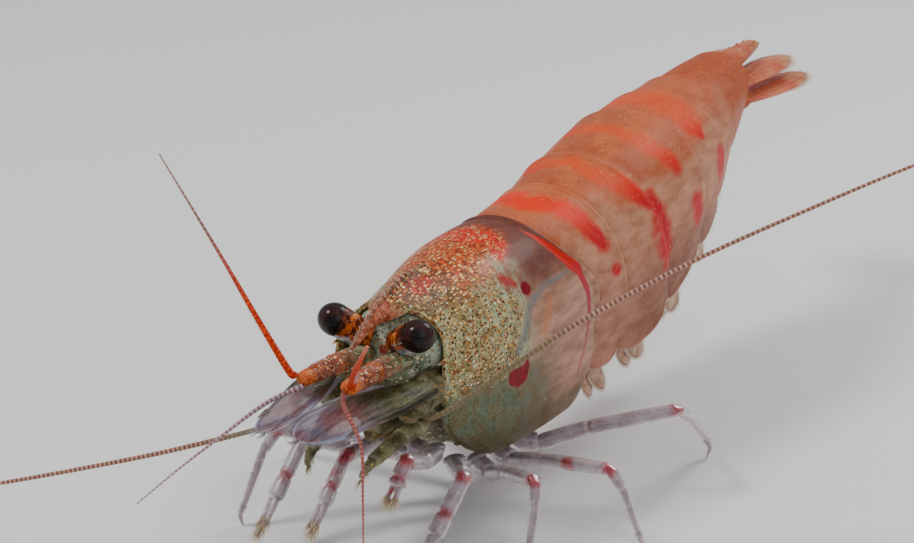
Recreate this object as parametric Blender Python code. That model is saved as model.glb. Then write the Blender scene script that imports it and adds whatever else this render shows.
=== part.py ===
"""A red tiger dwarf shrimp at life size, standing on six walking legs.

The animal faces -Y and its left side is +X. Sizes are in millimetres and become metres as
they enter a mesh. Neighbouring pieces are parted by thin cuts.
"""

import math

import bmesh
import bpy
import numpy as np
from mathutils import Matrix, Vector

MM = 0.001
GAP = 0.1
FEELER = 0.25  # radius of the thin feelers and of the leg tips

# Carapace: stations run from the brow (y = 0) to the rear edge, heights are above the floor.
CARAPACE_LENGTH = 9.4
REAR_NOTCH = 2.2  # how far the rear edge comes forward over the back
NOTCH_FOOT = 6.4  # height where the rear edge starts to lean forward
ORBIT_DEPTH = 0.5  # how far the front edge is scooped out behind the eyes
ORBIT_REACH = 1.6  # how far back the scoop still pulls the shell
CARAPACE_HALF_WIDTH = 2.75
CARAPACE_CREST = 8.9
CREST_RISE = 0.45  # how much higher the back is at the rear edge than at the brow
CARAPACE_WAIST = 5.9  # height of the widest level
CARAPACE_MARGIN = 2.6
SIDE_SHARE = 0.45  # share of the shell's outer line that lies below the waist
CARAPACE_STATIONS = (0.0, 0.035, 0.09, 0.17, 0.27, 0.38, 0.5, 0.62, 0.74, 0.86, 0.94, 1.0)
WALL = 0.5
UNDERSIDE_RISE = 1.3  # height of the thorax underside above the lower margin

# Abdomen: one value for each of the six segments, then values at the seven borders.
SEGMENT_LENGTHS = (1.5, 2.6, 3.7, 2.6, 2.3, 4.0)
BORDER_PITCH = (0.0, 12.0, 17.0, 12.0, 10.0, 9.0, 3.0)  # degrees, nose-up positive
BORDER_YAW = (0.0, 0.0, 1.0, 3.0, 5.5, 7.0, 7.0)  # degrees towards the right side
BORDER_HALF_WIDTH = (2.6, 2.75, 2.85, 2.75, 2.45, 2.0, 1.25)
BORDER_RISE = (3.0, 3.1, 3.0, 2.6, 2.1, 1.65, 1.1)  # back above the axis
BORDER_DROP = (2.9, 3.2, 3.5, 3.1, 2.6, 1.7, 0.95)  # side plates below the axis
PLATE_SHARE = 0.35  # share of a segment's outer line that is side plate
# Along one segment: place, flare of the edge, depth of the side plate.
SEGMENT_PROFILE = ((0.0, -0.12, 0.86), (0.3, 0.0, 1.0), (0.7, 0.03, 1.0), (1.0, 0.06, 0.9))
ABDOMEN_AXIS_START = 6.4

EYE_CENTRE = (1.54, -0.8, 7.9)
EYE_RADIUS = 0.6
ROSTRUM_TIP = (-2.3, 7.7)  # y and z
ROSTRUM_TEETH = 11
PEDUNCLE_TIP = (0.75, -4.1, 7.05)
ANTENNA_ROOT = (1.8, -1.25, 5.5)
SCALE_ROOT = (1.8, -1.0, 6.15)
SCALE_LENGTH = 5.6
SCALE_WIDTH = 1.75
WHIP_POINTS = 26
WHIP_SPLIT = 13  # the point where the long feeler is divided into two lengths
SHORT_WHIP_POINTS = 10
TELSON_LENGTH = 4.2
TELSON_SECTIONS = ((0.0, 0.62, 0.4), (0.3, 0.6, 0.36), (0.75, 0.4, 0.27), (1.0, 0.27, 0.25))
TELSON_RISE = 0.45  # height of its root above the axis
# Tail fan paddles: distance out, height on the axis, spread in degrees, length, width.
TAIL_PADDLES = {
    "inner": (0.6, -0.32, 7.0, 4.1, 1.4),
    "outer": (0.66, -0.93, 15.0, 4.2, 1.6),
}

# Limbs: hip along the body, then knee and foot as x outwards, y and z.
WALKING_LEGS = {
    "left": {
        3: (3.6, (4.8, 1.0, 3.0), (4.9, 0.4)),
        4: (4.9, (6.3, 3.3, 2.9), (7.2, 3.7)),
        5: (6.2, (6.0, 8.7, 3.1), (5.4, 12.3)),
    },
    "right": {
        3: (3.6, (4.6, 0.4, 3.1), (5.2, -0.9)),
        4: (4.9, (6.2, 4.2, 3.0), (7.0, 5.2)),
        5: (6.2, (5.8, 9.0, 3.0), (5.6, 12.2)),
    },
}
CLAW_LEGS = {
    "left": {
        1: (1.0, (1.85, -2.1, 4.15), (1.65, -2.75, 2.95)),
        2: (2.3, (3.1, -0.6, 3.3), (2.7, -2.9, 0.9)),
    },
    "right": {
        1: (1.0, (0.85, -1.4, 3.55), (1.0, -3.3, 1.5)),
        2: (2.3, (3.2, -0.2, 3.3), (3.3, -2.9, 0.8)),
    },
}
ANKLE_HEIGHT = 0.45
SIDES = {"left": 1.0, "right": -1.0}


# ---------------------------------------------------------------- helpers
def look(name, colour, roughness=0.35):
    """A Principled material of one colour."""
    material = bpy.data.materials.new(name)
    material.use_nodes = True
    shader = material.node_tree.nodes["Principled BSDF"]
    shader.inputs["Base Color"].default_value = (*colour, 1.0)
    shader.inputs["Roughness"].default_value = roughness
    shader.inputs["Metallic"].default_value = 0.0
    return material


def place(name, data, material):
    """Put a mesh or curve in the shrimp's collection, hung from the root empty."""
    data.materials.append(material)
    piece = bpy.data.objects.new(name, data)
    piece.parent = bpy.data.objects["shrimp_root"]
    bpy.data.collections["red_tiger_shrimp"].objects.link(piece)
    return piece


def smooth(mesh, angle=50.0):
    """Smooth shading that keeps the creases sharper than the angle."""
    mesh.shade_smooth()
    mesh.set_sharp_from_angle(angle=math.radians(angle))


def cap(shape, loop, mirrored_count, strips):
    """Close a ring: level strips between mirrored points at its top, one face below them."""
    if not strips:
        shape.faces.new(loop)
        return
    last = mirrored_count - 1
    middle = last // 2
    first = middle - strips
    for index in range(first, middle):
        corners = [loop[index], loop[index + 1], loop[last - index - 1], loop[last - index]]
        shape.faces.new(list(dict.fromkeys(corners)))
    shape.faces.new(loop[: first + 1] + loop[last - first :])


def loft(name, rings, material, mirrored_count=0, strips=0):
    """A closed skin through rings of equal count, capped at both ends."""
    shape = bmesh.new()
    loops = [[shape.verts.new(Vector(point) * MM) for point in ring] for ring in rings]
    count = len(rings[0])
    for front, back in zip(loops, loops[1:]):
        for index in range(count):
            shape.faces.new((front[index], front[index - 1], back[index - 1], back[index]))
    for loop in (loops[0], loops[-1]):
        cap(shape, loop, mirrored_count, strips)
    bmesh.ops.recalc_face_normals(shape, faces=shape.faces)
    mesh = bpy.data.meshes.new(name)
    shape.to_mesh(mesh)
    shape.free()
    smooth(mesh)
    return place(name, mesh, material)


def through(points, count):
    """Evenly numbered points on the Catmull-Rom curve through the given ones."""
    knots = np.array(points, dtype=float)
    knots = np.vstack([2 * knots[0] - knots[1], knots, 2 * knots[-1] - knots[-2]])
    found = []
    for place_on in np.linspace(0, len(points) - 1, count):
        span = min(int(place_on), len(points) - 2)
        t = place_on - span
        p0, p1, p2, p3 = knots[span : span + 4]
        bend = (2 * p0 - 5 * p1 + 4 * p2 - p3) * t * t
        twist = (3 * p1 - p0 - 3 * p2 + p3) * t * t * t
        found.append(0.5 * (2 * p1 + (p2 - p0) * t + bend + twist))
    return found


def tube(name, points, radii, material):
    """A limb or feeler: a round bevel along straight runs, with its own radius at each point."""
    curve = bpy.data.curves.new(name, "CURVE")
    curve.dimensions = "3D"
    curve.bevel_depth = MM
    curve.bevel_resolution = 2
    curve.render_resolution_u = 0
    curve.use_fill_caps = True
    spline = curve.splines.new("POLY")
    spline.points.add(len(points) - 1)
    for spot, point, radius in zip(spline.points, points, radii):
        spot.co = (*(Vector(point) * MM), 1.0)
        spot.radius = radius
    spline.use_smooth = True
    return place(name, curve, material)


def blade(name, outline, thickness, frame, material):
    """A flat plate: an outline in the frame's XY plane, given its thickness by extrusion."""
    curve = bpy.data.curves.new(name, "CURVE")
    curve.dimensions = "2D"
    curve.fill_mode = "BOTH"
    curve.extrude = 0.5 * thickness * MM
    curve.render_resolution_u = 0
    spline = curve.splines.new("POLY")
    spline.points.add(len(outline) - 1)
    for spot, (across, along) in zip(spline.points, outline):
        spot.co = (across * MM, along * MM, 0.0, 1.0)
    spline.use_cyclic_u = True
    piece = place(name, curve, material)
    piece.matrix_local = frame
    return piece


def leaf(length, width, base=0.35, fullest=0.55, count=7):
    """Half-widths along a leaf, as an outline that starts at its root and ends in a round tip."""
    right = []
    for step in range(count + 1):
        t = step / count
        if t < fullest:
            share = base + (1 - base) * math.sin(0.5 * math.pi * t / fullest)
        else:
            share = math.cos(0.5 * math.pi * (t - fullest) / (1 - fullest)) ** 0.6
        right.append((0.5 * width * max(share, 0.12), t * length))
    left = [(-across, along) for across, along in reversed(right)]
    return right + left


def aim(origin, along, face=(0, 0, 1)):
    """A frame whose Y axis points along, with its Z axis as near to face as it can be."""
    y_axis = Vector(along).normalized()
    x_axis = y_axis.cross(Vector(face)).normalized()
    z_axis = x_axis.cross(y_axis)
    frame = Matrix((x_axis, y_axis, z_axis)).transposed().to_4x4()
    frame.translation = Vector(origin) * MM
    return frame


def mirrored(point, side):
    """The point on the left side or its mirror image on the right."""
    return Vector((point[0] * side, point[1], point[2]))


# ---------------------------------------------------------------- carapace and head
def carapace_sizes(y):
    """Half-width, crest height, lower margin height and waist height at a station."""
    t = y / CARAPACE_LENGTH
    swell = math.sin(math.pi * (0.23 + 0.4 * t)) ** 0.75
    half_width = CARAPACE_HALF_WIDTH * swell
    crest = CARAPACE_CREST + CREST_RISE * math.sin(0.5 * math.pi * t)
    front = 2.1 * max(1 - t / 0.38, 0) ** 1.6
    rear = 1.5 * max(t - 0.86, 0) / 0.14
    margin = CARAPACE_MARGIN + front + rear
    waist = CARAPACE_WAIST + 0.5 * max(1 - t / 0.3, 0) + 0.5 * t
    return half_width, crest, margin, waist


def rear_edge(height):
    """How far back the rear edge lies at a height: forward over the back, full length at the sides."""
    t = min(max((height - NOTCH_FOOT) / (CARAPACE_CREST + CREST_RISE - NOTCH_FOOT), 0), 1)
    return CARAPACE_LENGTH - REAR_NOTCH * t * t * (3 - 2 * t)


def set_back(y, height):
    """A station's place at a height, pulled by the scooped orbit in front and the rear edge behind."""
    scoop = math.exp(-(((height - EYE_CENTRE[2]) / EYE_RADIUS) ** 2))
    pull = ORBIT_DEPTH * scoop * max(1 - y / ORBIT_REACH, 0)
    return rear_edge(height) * y / CARAPACE_LENGTH + pull


def carapace_outer(y, half=11):
    """The shell's outer line from the left margin over the crest to the right margin."""
    half_width, crest, margin, waist = carapace_sizes(y)
    keel = 0.92 + 1.1 * max(1 - y / 6.0, 0) ** 1.5
    line = []
    for step in range(half + 1):
        t = step / half
        if t < SIDE_SHARE:
            angle = 0.5 * math.pi * t / SIDE_SHARE
            across = half_width * (1 - 0.26 * (1 - math.sin(angle)) ** 2)
            height = waist + (margin - waist) * math.cos(angle)
        else:
            angle = 0.5 * math.pi * (t - SIDE_SHARE) / (1 - SIDE_SHARE)
            across = half_width * math.cos(angle) ** keel
            height = waist + (crest - waist) * math.sin(angle)
        line.append((across, height))
    line[-1] = (0.0, crest)
    left = [(across, set_back(y, height), height) for across, height in line]
    right = [(-across, back, height) for across, back, height in reversed(left[:-1])]
    return left + right


def trough(y, inset, foot):
    """The line of the cut under the shell, from the right margin up and over to the left."""
    half_width, _, margin, _ = carapace_sizes(y)
    half_width = 0.8 * half_width - inset
    roof = margin + UNDERSIDE_RISE - (inset - WALL)
    left = [(half_width, y, margin + foot), (half_width * 1.02, y, margin + 0.55 * UNDERSIDE_RISE)]
    left += [(half_width * 0.72, y, roof - 0.12), (half_width * 0.3, y, roof)]
    right = [(-across, y, height) for across, _, height in left]
    return right + left[::-1]


def carapace():
    """The head-and-thorax shell, open below where the legs come out."""
    shell = look("carapace_shell", (0.42, 0.33, 0.2))
    rings = []
    for t in CARAPACE_STATIONS:
        y = CARAPACE_LENGTH * t
        rings.append(carapace_outer(y) + trough(y, WALL, 0.0))
    loft("carapace", rings, shell, mirrored_count=23, strips=6)


def thorax_underside():
    """The breast plates between the legs, set in the carapace's opening."""
    flesh = look("breast_plates", (0.5, 0.46, 0.38))
    rings = []
    for t in CARAPACE_STATIONS[:-1]:
        y = CARAPACE_LENGTH * t
        upper = trough(y, WALL + GAP, 0.12)
        half_width = upper[-1][0]
        floor = carapace_sizes(y)[2] - 0.05
        lower = [(half_width * 0.75, y, floor), (0.0, y, floor - 0.12), (-half_width * 0.75, y, floor)]
        rings.append(upper + lower)
    loft("thorax_underside", rings, flesh)


def rostrum():
    """The beak between the eyes: a keeled bar that droops, with a row of teeth on its back."""
    shell = look("rostrum_shell", (0.5, 0.27, 0.16))
    tip_y, tip_z = ROSTRUM_TIP
    start = -GAP
    _, crest, _, _ = carapace_sizes(0.0)
    steps = 2 * ROSTRUM_TEETH + 1
    rings = []
    for step in range(steps + 1):
        t = step / steps
        y = start + (tip_y - start) * t
        top = crest + (tip_z - crest) * (0.55 * t + 0.45 * t * t)
        tooth = 0.09 if step % 2 and step < steps else 0.0
        depth = 0.6 * (1 - t) ** 0.8 + 0.3
        width = 0.3 * (1 - t) ** 0.9 + 0.15
        shoulder = top - 0.42 * depth
        rings.append(
            [
                (0.0, y, top + tooth),
                (width, y, shoulder),
                (0.35 * width, y, top - depth),
                (-0.35 * width, y, top - depth),
                (-width, y, shoulder),
            ]
        )
    loft("rostrum", rings, shell)


def eye(side_name):
    """An eyeball and the short stalk that carries it out from under the beak."""
    side = SIDES[side_name]
    centre = mirrored(EYE_CENTRE, side)
    ball = bmesh.new()
    bmesh.ops.create_uvsphere(ball, u_segments=16, v_segments=9, radius=EYE_RADIUS * MM)
    bmesh.ops.translate(ball, verts=ball.verts, vec=centre * MM)
    mesh = bpy.data.meshes.new("eye_" + side_name)
    ball.to_mesh(mesh)
    ball.free()
    smooth(mesh)
    place("eye_" + side_name, mesh, look("eye_" + side_name, (0.03, 0.008, 0.008), 0.1))
    inner = mirrored((0.42, -0.42, 7.35), side)
    outward = (centre - inner).normalized()
    stop = centre - outward * (EYE_RADIUS + GAP)
    middle = inner.lerp(stop, 0.5)
    stalk = look("eyestalk_" + side_name, (0.6, 0.3, 0.1))
    tube("eyestalk_" + side_name, (inner, middle, stop), (0.26, 0.3, 0.42), stalk)


def antennules(side_name):
    """The first feelers: a three-jointed stem and its outer and inner whips."""
    side = SIDES[side_name]
    shell = look("antennule_" + side_name, (0.6, 0.35, 0.25))
    tip_x, tip_y, tip_z = PEDUNCLE_TIP
    root = (0.6, -GAP - 0.02, 6.75)
    joints = [root, (0.66, -1.2, 6.9), (0.7, -2.3, 7.0), (0.74, -2.5, 7.0), (0.75, -3.2, 7.03)]
    joints += [(0.75, -3.4, 7.03), PEDUNCLE_TIP]
    radii = (0.42, 0.45, 0.4, 0.35, 0.38, 0.33, 0.33)
    tube("antennule_stem_" + side_name, [mirrored(point, side) for point in joints], radii, shell)
    start_y = tip_y - GAP
    outer = [(tip_x + 0.22, start_y, tip_z + 0.28)]
    inner = [(tip_x - 0.2, start_y, tip_z - 0.3)]
    if side_name == "left":
        outer += [(2.0, -5.6, 8.4), (3.4, -7.6, 9.9), (4.7, -9.4, 11.2)]
        inner += [(1.5, -4.9, 6.85), (2.5, -5.8, 6.1), (3.3, -7.0, 5.0), (4.3, -8.6, 3.6)]
    else:
        outer += [(2.1, -4.1, 8.5), (4.4, -3.3, 10.6), (7.2, -2.3, 13.0)]
        inner += [(1.5, -5.0, 6.85), (2.3, -6.4, 5.9), (2.9, -7.9, 4.9), (3.4, -9.4, 4.2)]
    whip = look("antennule_whip_" + side_name, (0.65, 0.2, 0.08))
    for kind, route in (("outer", outer), ("inner", inner)):
        points = [mirrored(point, side) for point in through(route, SHORT_WHIP_POINTS)]
        tube(f"antennule_{kind}_{side_name}", points, [FEELER] * len(points), whip)


def antenna(side_name):
    """The second feeler: its base block, the long whip in two lengths and the flat scale."""
    side = SIDES[side_name]
    shell = look("antenna_base_" + side_name, (0.45, 0.42, 0.32))
    block = [(1.5, -GAP - 0.02, 5.75), (1.62, -0.5, 5.65), (1.72, -0.85, 5.58)]
    points = [mirrored(point, side) for point in block]
    tube("antenna_base_" + side_name, points, (0.55, 0.58, 0.42), shell)
    if side_name == "left":
        route = [ANTENNA_ROOT, (2.7, -1.35, 5.75), (4.4, 0.5, 7.3), (6.2, 2.25, 8.75)]
        route += [(8.8, 4.4, 10.4), (11.5, 6.6, 11.8), (14.2, 8.7, 13.1), (16.6, 11.8, 13.9)]
        route += [(18.2, 15.6, 13.9)]
    else:
        route = [ANTENNA_ROOT, (1.65, -2.2, 5.5), (1.9, -3.9, 5.3), (4.2, -6.0, 4.7)]
        route += [(6.7, -7.6, 4.1), (9.3, -9.0, 3.5), (12.2, -10.4, 2.9), (15.3, -11.8, 2.2)]
        route += [(18.3, -13.2, 1.4)]
    points = [mirrored(point, side) for point in through(route, WHIP_POINTS)]
    whip = look("antenna_whip_" + side_name, (0.6, 0.4, 0.25))
    near = points[:WHIP_SPLIT]
    far = points[WHIP_SPLIT - 1 :]
    step = (far[1] - far[0]).normalized()
    far[0] = far[0] + step * GAP
    tube("antenna_near_" + side_name, near, [FEELER] * len(near), whip)
    tube("antenna_far_" + side_name, far, [FEELER] * len(far), whip)
    along = Vector((-0.2 * side, -1.0, 0.0))
    frame = aim(mirrored(SCALE_ROOT, side), along, (0.25 * side, 0.0, 1.0))
    plate = leaf(SCALE_LENGTH, SCALE_WIDTH, 0.55, 0.4)
    scale = look("antenna_scale_" + side_name, (0.45, 0.45, 0.4))
    blade("antenna_scale_" + side_name, plate, 2 * FEELER, frame, scale)


def mouthparts():
    """The packed jaws under the head, and the jaw feet at either side of them."""
    flesh = look("mouthparts", (0.46, 0.42, 0.32))
    rings = []
    for t in (0.0, 0.3, 0.65, 1.0):
        y = -GAP - 1.25 * t
        half_width = 0.85 * math.sqrt(1 - 0.75 * t * t)
        half_height = 0.75 * math.sqrt(1 - 0.8 * t * t)
        height = 4.75 - 0.1 * t
        ring = []
        for step in range(12):
            turn = 2 * math.pi * step / 12
            ring.append((half_width * math.cos(turn), y, height + half_height * math.sin(turn)))
        rings.append(ring)
    loft("mouthparts", rings, flesh)
    for side_name, side in SIDES.items():
        joints = [(1.25, -0.14, 4.75), (1.45, -0.9, 4.7), (1.4, -1.6, 4.75), (1.25, -2.3, 4.6)]
        joints += [(1.1, -3.0, 4.25), (1.0, -3.5, 3.9)]
        points = [mirrored(point, side) for point in joints]
        radii = (0.3, 0.33, 0.33, 0.28, 0.26, FEELER)
        tube("jaw_foot_" + side_name, points, radii, look("jaw_foot_" + side_name, (0.5, 0.45, 0.38)))


# ---------------------------------------------------------------- legs
def hip_of(hip_y):
    """Where a leg leaves the breast plates."""
    return Vector((1.0, hip_y, carapace_sizes(hip_y)[2] - 0.25 - GAP))


def walking_leg(side_name, number):
    """A walking leg: hip, thigh up to the knee, shin down to a small flat foot."""
    side = SIDES[side_name]
    hip_y, knee, foot = WALKING_LEGS[side_name][number]
    hip = hip_of(hip_y)
    knee = Vector(knee)
    ground = Vector((foot[0], foot[1], 0.0))
    ankle = ground + Vector((0.0, 0.0, ANKLE_HEIGHT))
    socket = hip + Vector((0.18, 0.0, -0.3))
    under = Vector((1.9, hip_y + 0.12 * (knee.y - hip_y), hip.z - 0.42))
    thigh = under.lerp(knee, 0.55) + Vector((0.0, 0.0, 0.12))
    before = knee.lerp(thigh, 0.14)
    wrist = knee.lerp(ankle, 0.32) + Vector((0.12, 0.0, 0.16))
    shin = knee.lerp(ankle, 0.66) + Vector((0.08, 0.0, 0.1))
    joints = [hip, socket, under, thigh, before, knee, wrist, shin, ankle, ground]
    radii = (0.34, 0.36, 0.34, 0.32, 0.29, 0.33, 0.27, 0.27, FEELER, FEELER)
    points = [mirrored(point, side) for point in joints]
    material = look(f"leg_{number}_{side_name}", (0.55, 0.5, 0.45))
    tube(f"leg_{number}_{side_name}", points, radii, material)


def claw_leg(side_name, number):
    """A short front leg that ends in a small hand with two fingers held together."""
    side = SIDES[side_name]
    hip_y, elbow, tip = CLAW_LEGS[side_name][number]
    hip = hip_of(hip_y)
    elbow = Vector(elbow)
    tip = Vector(tip)
    socket = hip + Vector((0.1, -0.05, -0.3))
    upper = socket.lerp(elbow, 0.5) + Vector((0.12, 0.0, -0.1))
    wrist = elbow.lerp(tip, 0.42)
    palm = elbow.lerp(tip, 0.66)
    joints = [hip, socket, upper, elbow, wrist, palm, tip]
    radii = (0.32, 0.34, 0.31, 0.31, 0.27, 0.34, FEELER)
    points = [mirrored(point, side) for point in joints]
    material = look(f"leg_{number}_{side_name}", (0.55, 0.45, 0.38))
    tube(f"leg_{number}_{side_name}", points, radii, material)


# ---------------------------------------------------------------- abdomen
def spine(step=0.05):
    """The abdomen's axis: distance, place, heading and pitch at fine steps."""
    borders = np.concatenate([[0.0], np.cumsum(SEGMENT_LENGTHS)])
    distance = np.arange(0.0, borders[-1] + TELSON_LENGTH, step)
    pitch = np.radians(np.interp(distance, borders, BORDER_PITCH))
    yaw = np.radians(np.interp(distance, borders, BORDER_YAW))
    heading = np.stack([-np.sin(yaw) * np.cos(pitch), np.cos(yaw) * np.cos(pitch), np.sin(pitch)], 1)
    start = np.array([0.0, CARAPACE_LENGTH, ABDOMEN_AXIS_START])
    place_on = start + np.vstack([np.zeros(3), np.cumsum(heading[:-1] * step, axis=0)])
    return borders, distance, place_on, pitch, yaw


def frame_on_spine(distance_along):
    """Origin and across, along and up directions at a distance down the abdomen."""
    _, distance, place_on, pitch, yaw = spine()
    origin = Vector([np.interp(distance_along, distance, place_on[:, axis]) for axis in range(3)])
    rise = float(np.interp(distance_along, distance, pitch))
    turn = float(np.interp(distance_along, distance, yaw))
    across = Vector((math.cos(turn), math.sin(turn), 0.0))
    along = Vector((-math.sin(turn) * math.cos(rise), math.cos(turn) * math.cos(rise), math.sin(rise)))
    return origin, across, along, across.cross(along)


def abdomen_ring(distance_along, flare, plate_cut, lean=0.0, half=9):
    """A section of the abdomen: round back, flat side plates, hollow belly."""
    borders = np.concatenate([[0.0], np.cumsum(SEGMENT_LENGTHS)])
    half_width = float(np.interp(distance_along, borders, BORDER_HALF_WIDTH)) + flare
    rise = float(np.interp(distance_along, borders, BORDER_RISE)) + flare
    drop = float(np.interp(distance_along, borders, BORDER_DROP)) * plate_cut
    outer = []
    for step in range(half + 1):
        t = step / half
        if t < PLATE_SHARE:
            side = 1 - t / PLATE_SHARE
            outer.append((half_width * (1 - 0.16 * side * side), -drop * side))
        else:
            angle = 0.5 * math.pi * (t - PLATE_SHARE) / (1 - PLATE_SHARE)
            outer.append((half_width * math.cos(angle) ** 0.95, rise * math.sin(angle)))
    inner = [(0.55 * half_width, -0.72 * drop), (0.3 * half_width, -0.6 * drop)]
    profile = outer[:-1] + [(0.0, rise)] + [(-across, up) for across, up in reversed(outer[:-1])]
    profile += [(-across, up) for across, up in inner] + [(0.0, -0.56 * drop)] + inner[::-1]
    origin, across_axis, _, up_axis = frame_on_spine(distance_along)
    ring = [origin + across_axis * across + up_axis * up for across, up in profile]
    for point in ring:
        point.y += lean * (rear_edge(point.z) - CARAPACE_LENGTH)
    return ring


def abdomen():
    """The six tail segments, each a ring with a slightly flared rear edge.

    The first one leans forward at the top to follow the carapace's rear edge.
    """
    borders = np.concatenate([[0.0], np.cumsum(SEGMENT_LENGTHS)])
    for number in range(1, 7):
        front = borders[number - 1] + GAP
        back = borders[number] - (0.0 if number < 6 else GAP)
        rings = []
        for t, flare, plate_cut in SEGMENT_PROFILE:
            lean = 1 - t if number == 1 else 0.0
            rings.append(abdomen_ring(front + (back - front) * t, flare, plate_cut, lean))
        material = look(f"abdomen_{number}", (0.72, 0.42, 0.3))
        loft(f"abdomen_{number}", rings, material, mirrored_count=19, strips=6)


def swimmeret(number, side_name):
    """One paddle under the abdomen, hanging back from its segment."""
    side = SIDES[side_name]
    borders = np.concatenate([[0.0], np.cumsum(SEGMENT_LENGTHS)])
    middle = 0.5 * (borders[number - 1] + borders[number])
    drop = float(np.interp(middle, borders, BORDER_DROP))
    half_width = float(np.interp(middle, borders, BORDER_HALF_WIDTH))
    origin, across, along, up = frame_on_spine(middle)
    root = origin + across * (0.42 * half_width * side) - up * (0.7 * drop + 0.26)
    hang = (-up + 0.42 * along + 0.1 * side * across).normalized()
    frame = aim(root, hang, across)
    length = 0.62 * drop + 0.7
    plate = leaf(length, 0.4 * SEGMENT_LENGTHS[number - 1] + 0.35, 0.45, 0.5, 5)
    material = look(f"swimmeret_{number}_{side_name}", (0.6, 0.5, 0.42))
    blade(f"swimmeret_{number}_{side_name}", plate, 2 * FEELER, frame, material)


def tail_fan():
    """The telson and the four paddles that spread beside and under it."""
    end = float(np.sum(SEGMENT_LENGTHS))
    origin, across, along, up = frame_on_spine(end)
    rings = []
    for t, half_width, half_height in TELSON_SECTIONS:
        spot = origin + along * (TELSON_LENGTH * t) + up * (TELSON_RISE - 0.3 * t)
        ring = []
        for step in range(10):
            turn = 2 * math.pi * step / 10
            ring.append(spot + across * (half_width * math.cos(turn)) + up * (half_height * math.sin(turn)))
        rings.append(ring)
    loft("telson", rings, look("telson", (0.75, 0.5, 0.33)))
    for kind, (out, down, spread, length, width) in TAIL_PADDLES.items():
        for side_name, side in SIDES.items():
            turn = math.radians(spread) * side
            heading = along * math.cos(turn) + across * math.sin(turn)
            root = origin + across * (out * side) + up * down + heading * 0.42
            frame = aim(root, heading, up)
            plate = leaf(length, width, 0.4, 0.6, 6)
            name = f"uropod_{kind}_{side_name}"
            blade(name, plate, 2 * FEELER, frame, look(name, (0.78, 0.5, 0.32)))


# ---------------------------------------------------------------- whole animal
def clear_scene():
    """Remove whatever the startup file holds."""
    for leftover in list(bpy.data.objects):
        bpy.data.objects.remove(leftover, do_unlink=True)


def stand_on_origin(root):
    """Move the animal so that the middle of its box's bottom is the world origin."""
    bpy.context.view_layer.update()
    graph = bpy.context.evaluated_depsgraph_get()
    corners = []
    for piece in root.children:
        mesh = bpy.data.meshes.new_from_object(piece.evaluated_get(graph))
        corners += [piece.matrix_world @ vertex.co for vertex in mesh.vertices]
        bpy.data.meshes.remove(mesh)
    low = [min(corner[axis] for corner in corners) for axis in range(3)]
    high = [max(corner[axis] for corner in corners) for axis in range(3)]
    root.location = (-0.5 * (low[0] + high[0]), -0.5 * (low[1] + high[1]), -low[2])
    bpy.context.view_layer.update()


def build():
    """Make every piece and stand the animal on the origin."""
    clear_scene()
    home = bpy.data.collections.new("red_tiger_shrimp")
    bpy.context.scene.collection.children.link(home)
    root = bpy.data.objects.new("shrimp_root", None)
    home.objects.link(root)
    carapace()
    thorax_underside()
    rostrum()
    mouthparts()
    for side_name in SIDES:
        eye(side_name)
        antennules(side_name)
        antenna(side_name)
        for number in CLAW_LEGS[side_name]:
            claw_leg(side_name, number)
        for number in WALKING_LEGS[side_name]:
            walking_leg(side_name, number)
        for number in range(1, 6):
            swimmeret(number, side_name)
    abdomen()
    tail_fan()
    stand_on_origin(root)


build()
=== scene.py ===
import math

import bpy
import numpy as np
from mathutils import Matrix, Vector


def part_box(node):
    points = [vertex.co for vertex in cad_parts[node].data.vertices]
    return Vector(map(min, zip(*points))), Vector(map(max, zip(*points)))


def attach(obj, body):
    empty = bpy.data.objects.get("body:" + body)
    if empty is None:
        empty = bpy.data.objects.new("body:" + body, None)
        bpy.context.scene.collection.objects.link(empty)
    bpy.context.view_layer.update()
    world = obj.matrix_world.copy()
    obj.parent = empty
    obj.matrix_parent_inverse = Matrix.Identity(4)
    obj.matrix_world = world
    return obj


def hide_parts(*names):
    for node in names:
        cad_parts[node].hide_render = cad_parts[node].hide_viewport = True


# The shrimp's own millimetres: it faces -y, its left side is +x, brow at y 0, floor at z 0.
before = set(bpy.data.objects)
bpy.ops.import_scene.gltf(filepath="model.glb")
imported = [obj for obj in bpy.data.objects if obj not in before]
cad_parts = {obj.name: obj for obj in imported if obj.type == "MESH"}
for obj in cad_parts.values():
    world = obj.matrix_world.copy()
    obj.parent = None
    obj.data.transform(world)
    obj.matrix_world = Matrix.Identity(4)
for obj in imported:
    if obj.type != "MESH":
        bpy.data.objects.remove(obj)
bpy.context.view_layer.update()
mm = 0.001
chance = np.random.default_rng(11)
sides = {"left": 1.0, "right": -1.0}
# eyes: the ball's colour is painted light and shade for the camera's view: lighter reddish brown (glow)
# toward the camera, darker at its edges and below, with a dark pseudopupil facing the camera
eyes = {
    "centre": (1.54, -0.8, 7.9), "radius": 0.575, "flat": 0.94, "glow": "451810",
    # the direction toward the camera, which the painted dark pseudopupil faces
    "gaze": {"left": (0.5, -0.82, 0.28), "right": (0.35, -0.85, 0.2)},
    "stalkRoot": (0.42, -0.36, 7.4), "stalk": 0.36,
}


def middleOf(node):
    low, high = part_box(node)
    return (low + high) / 2


home = (middleOf("eye_left") + middleOf("eye_right")) / 2
home -= Vector((0.0, eyes["centre"][1], eyes["centre"][2])) * mm
print("frame loaded")


# Materials
def paint(code, wet=1.18):  # a colour from its six-digit code; wet things are deeper than dry ones
    parts = [int(code[i:i + 2], 16) / 255 for i in (0, 2, 4)]
    return (*[(p / 12.92 if p < 0.0405 else ((p + 0.055) / 1.055) ** 2.4) ** wet for p in parts], 1.0)


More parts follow.
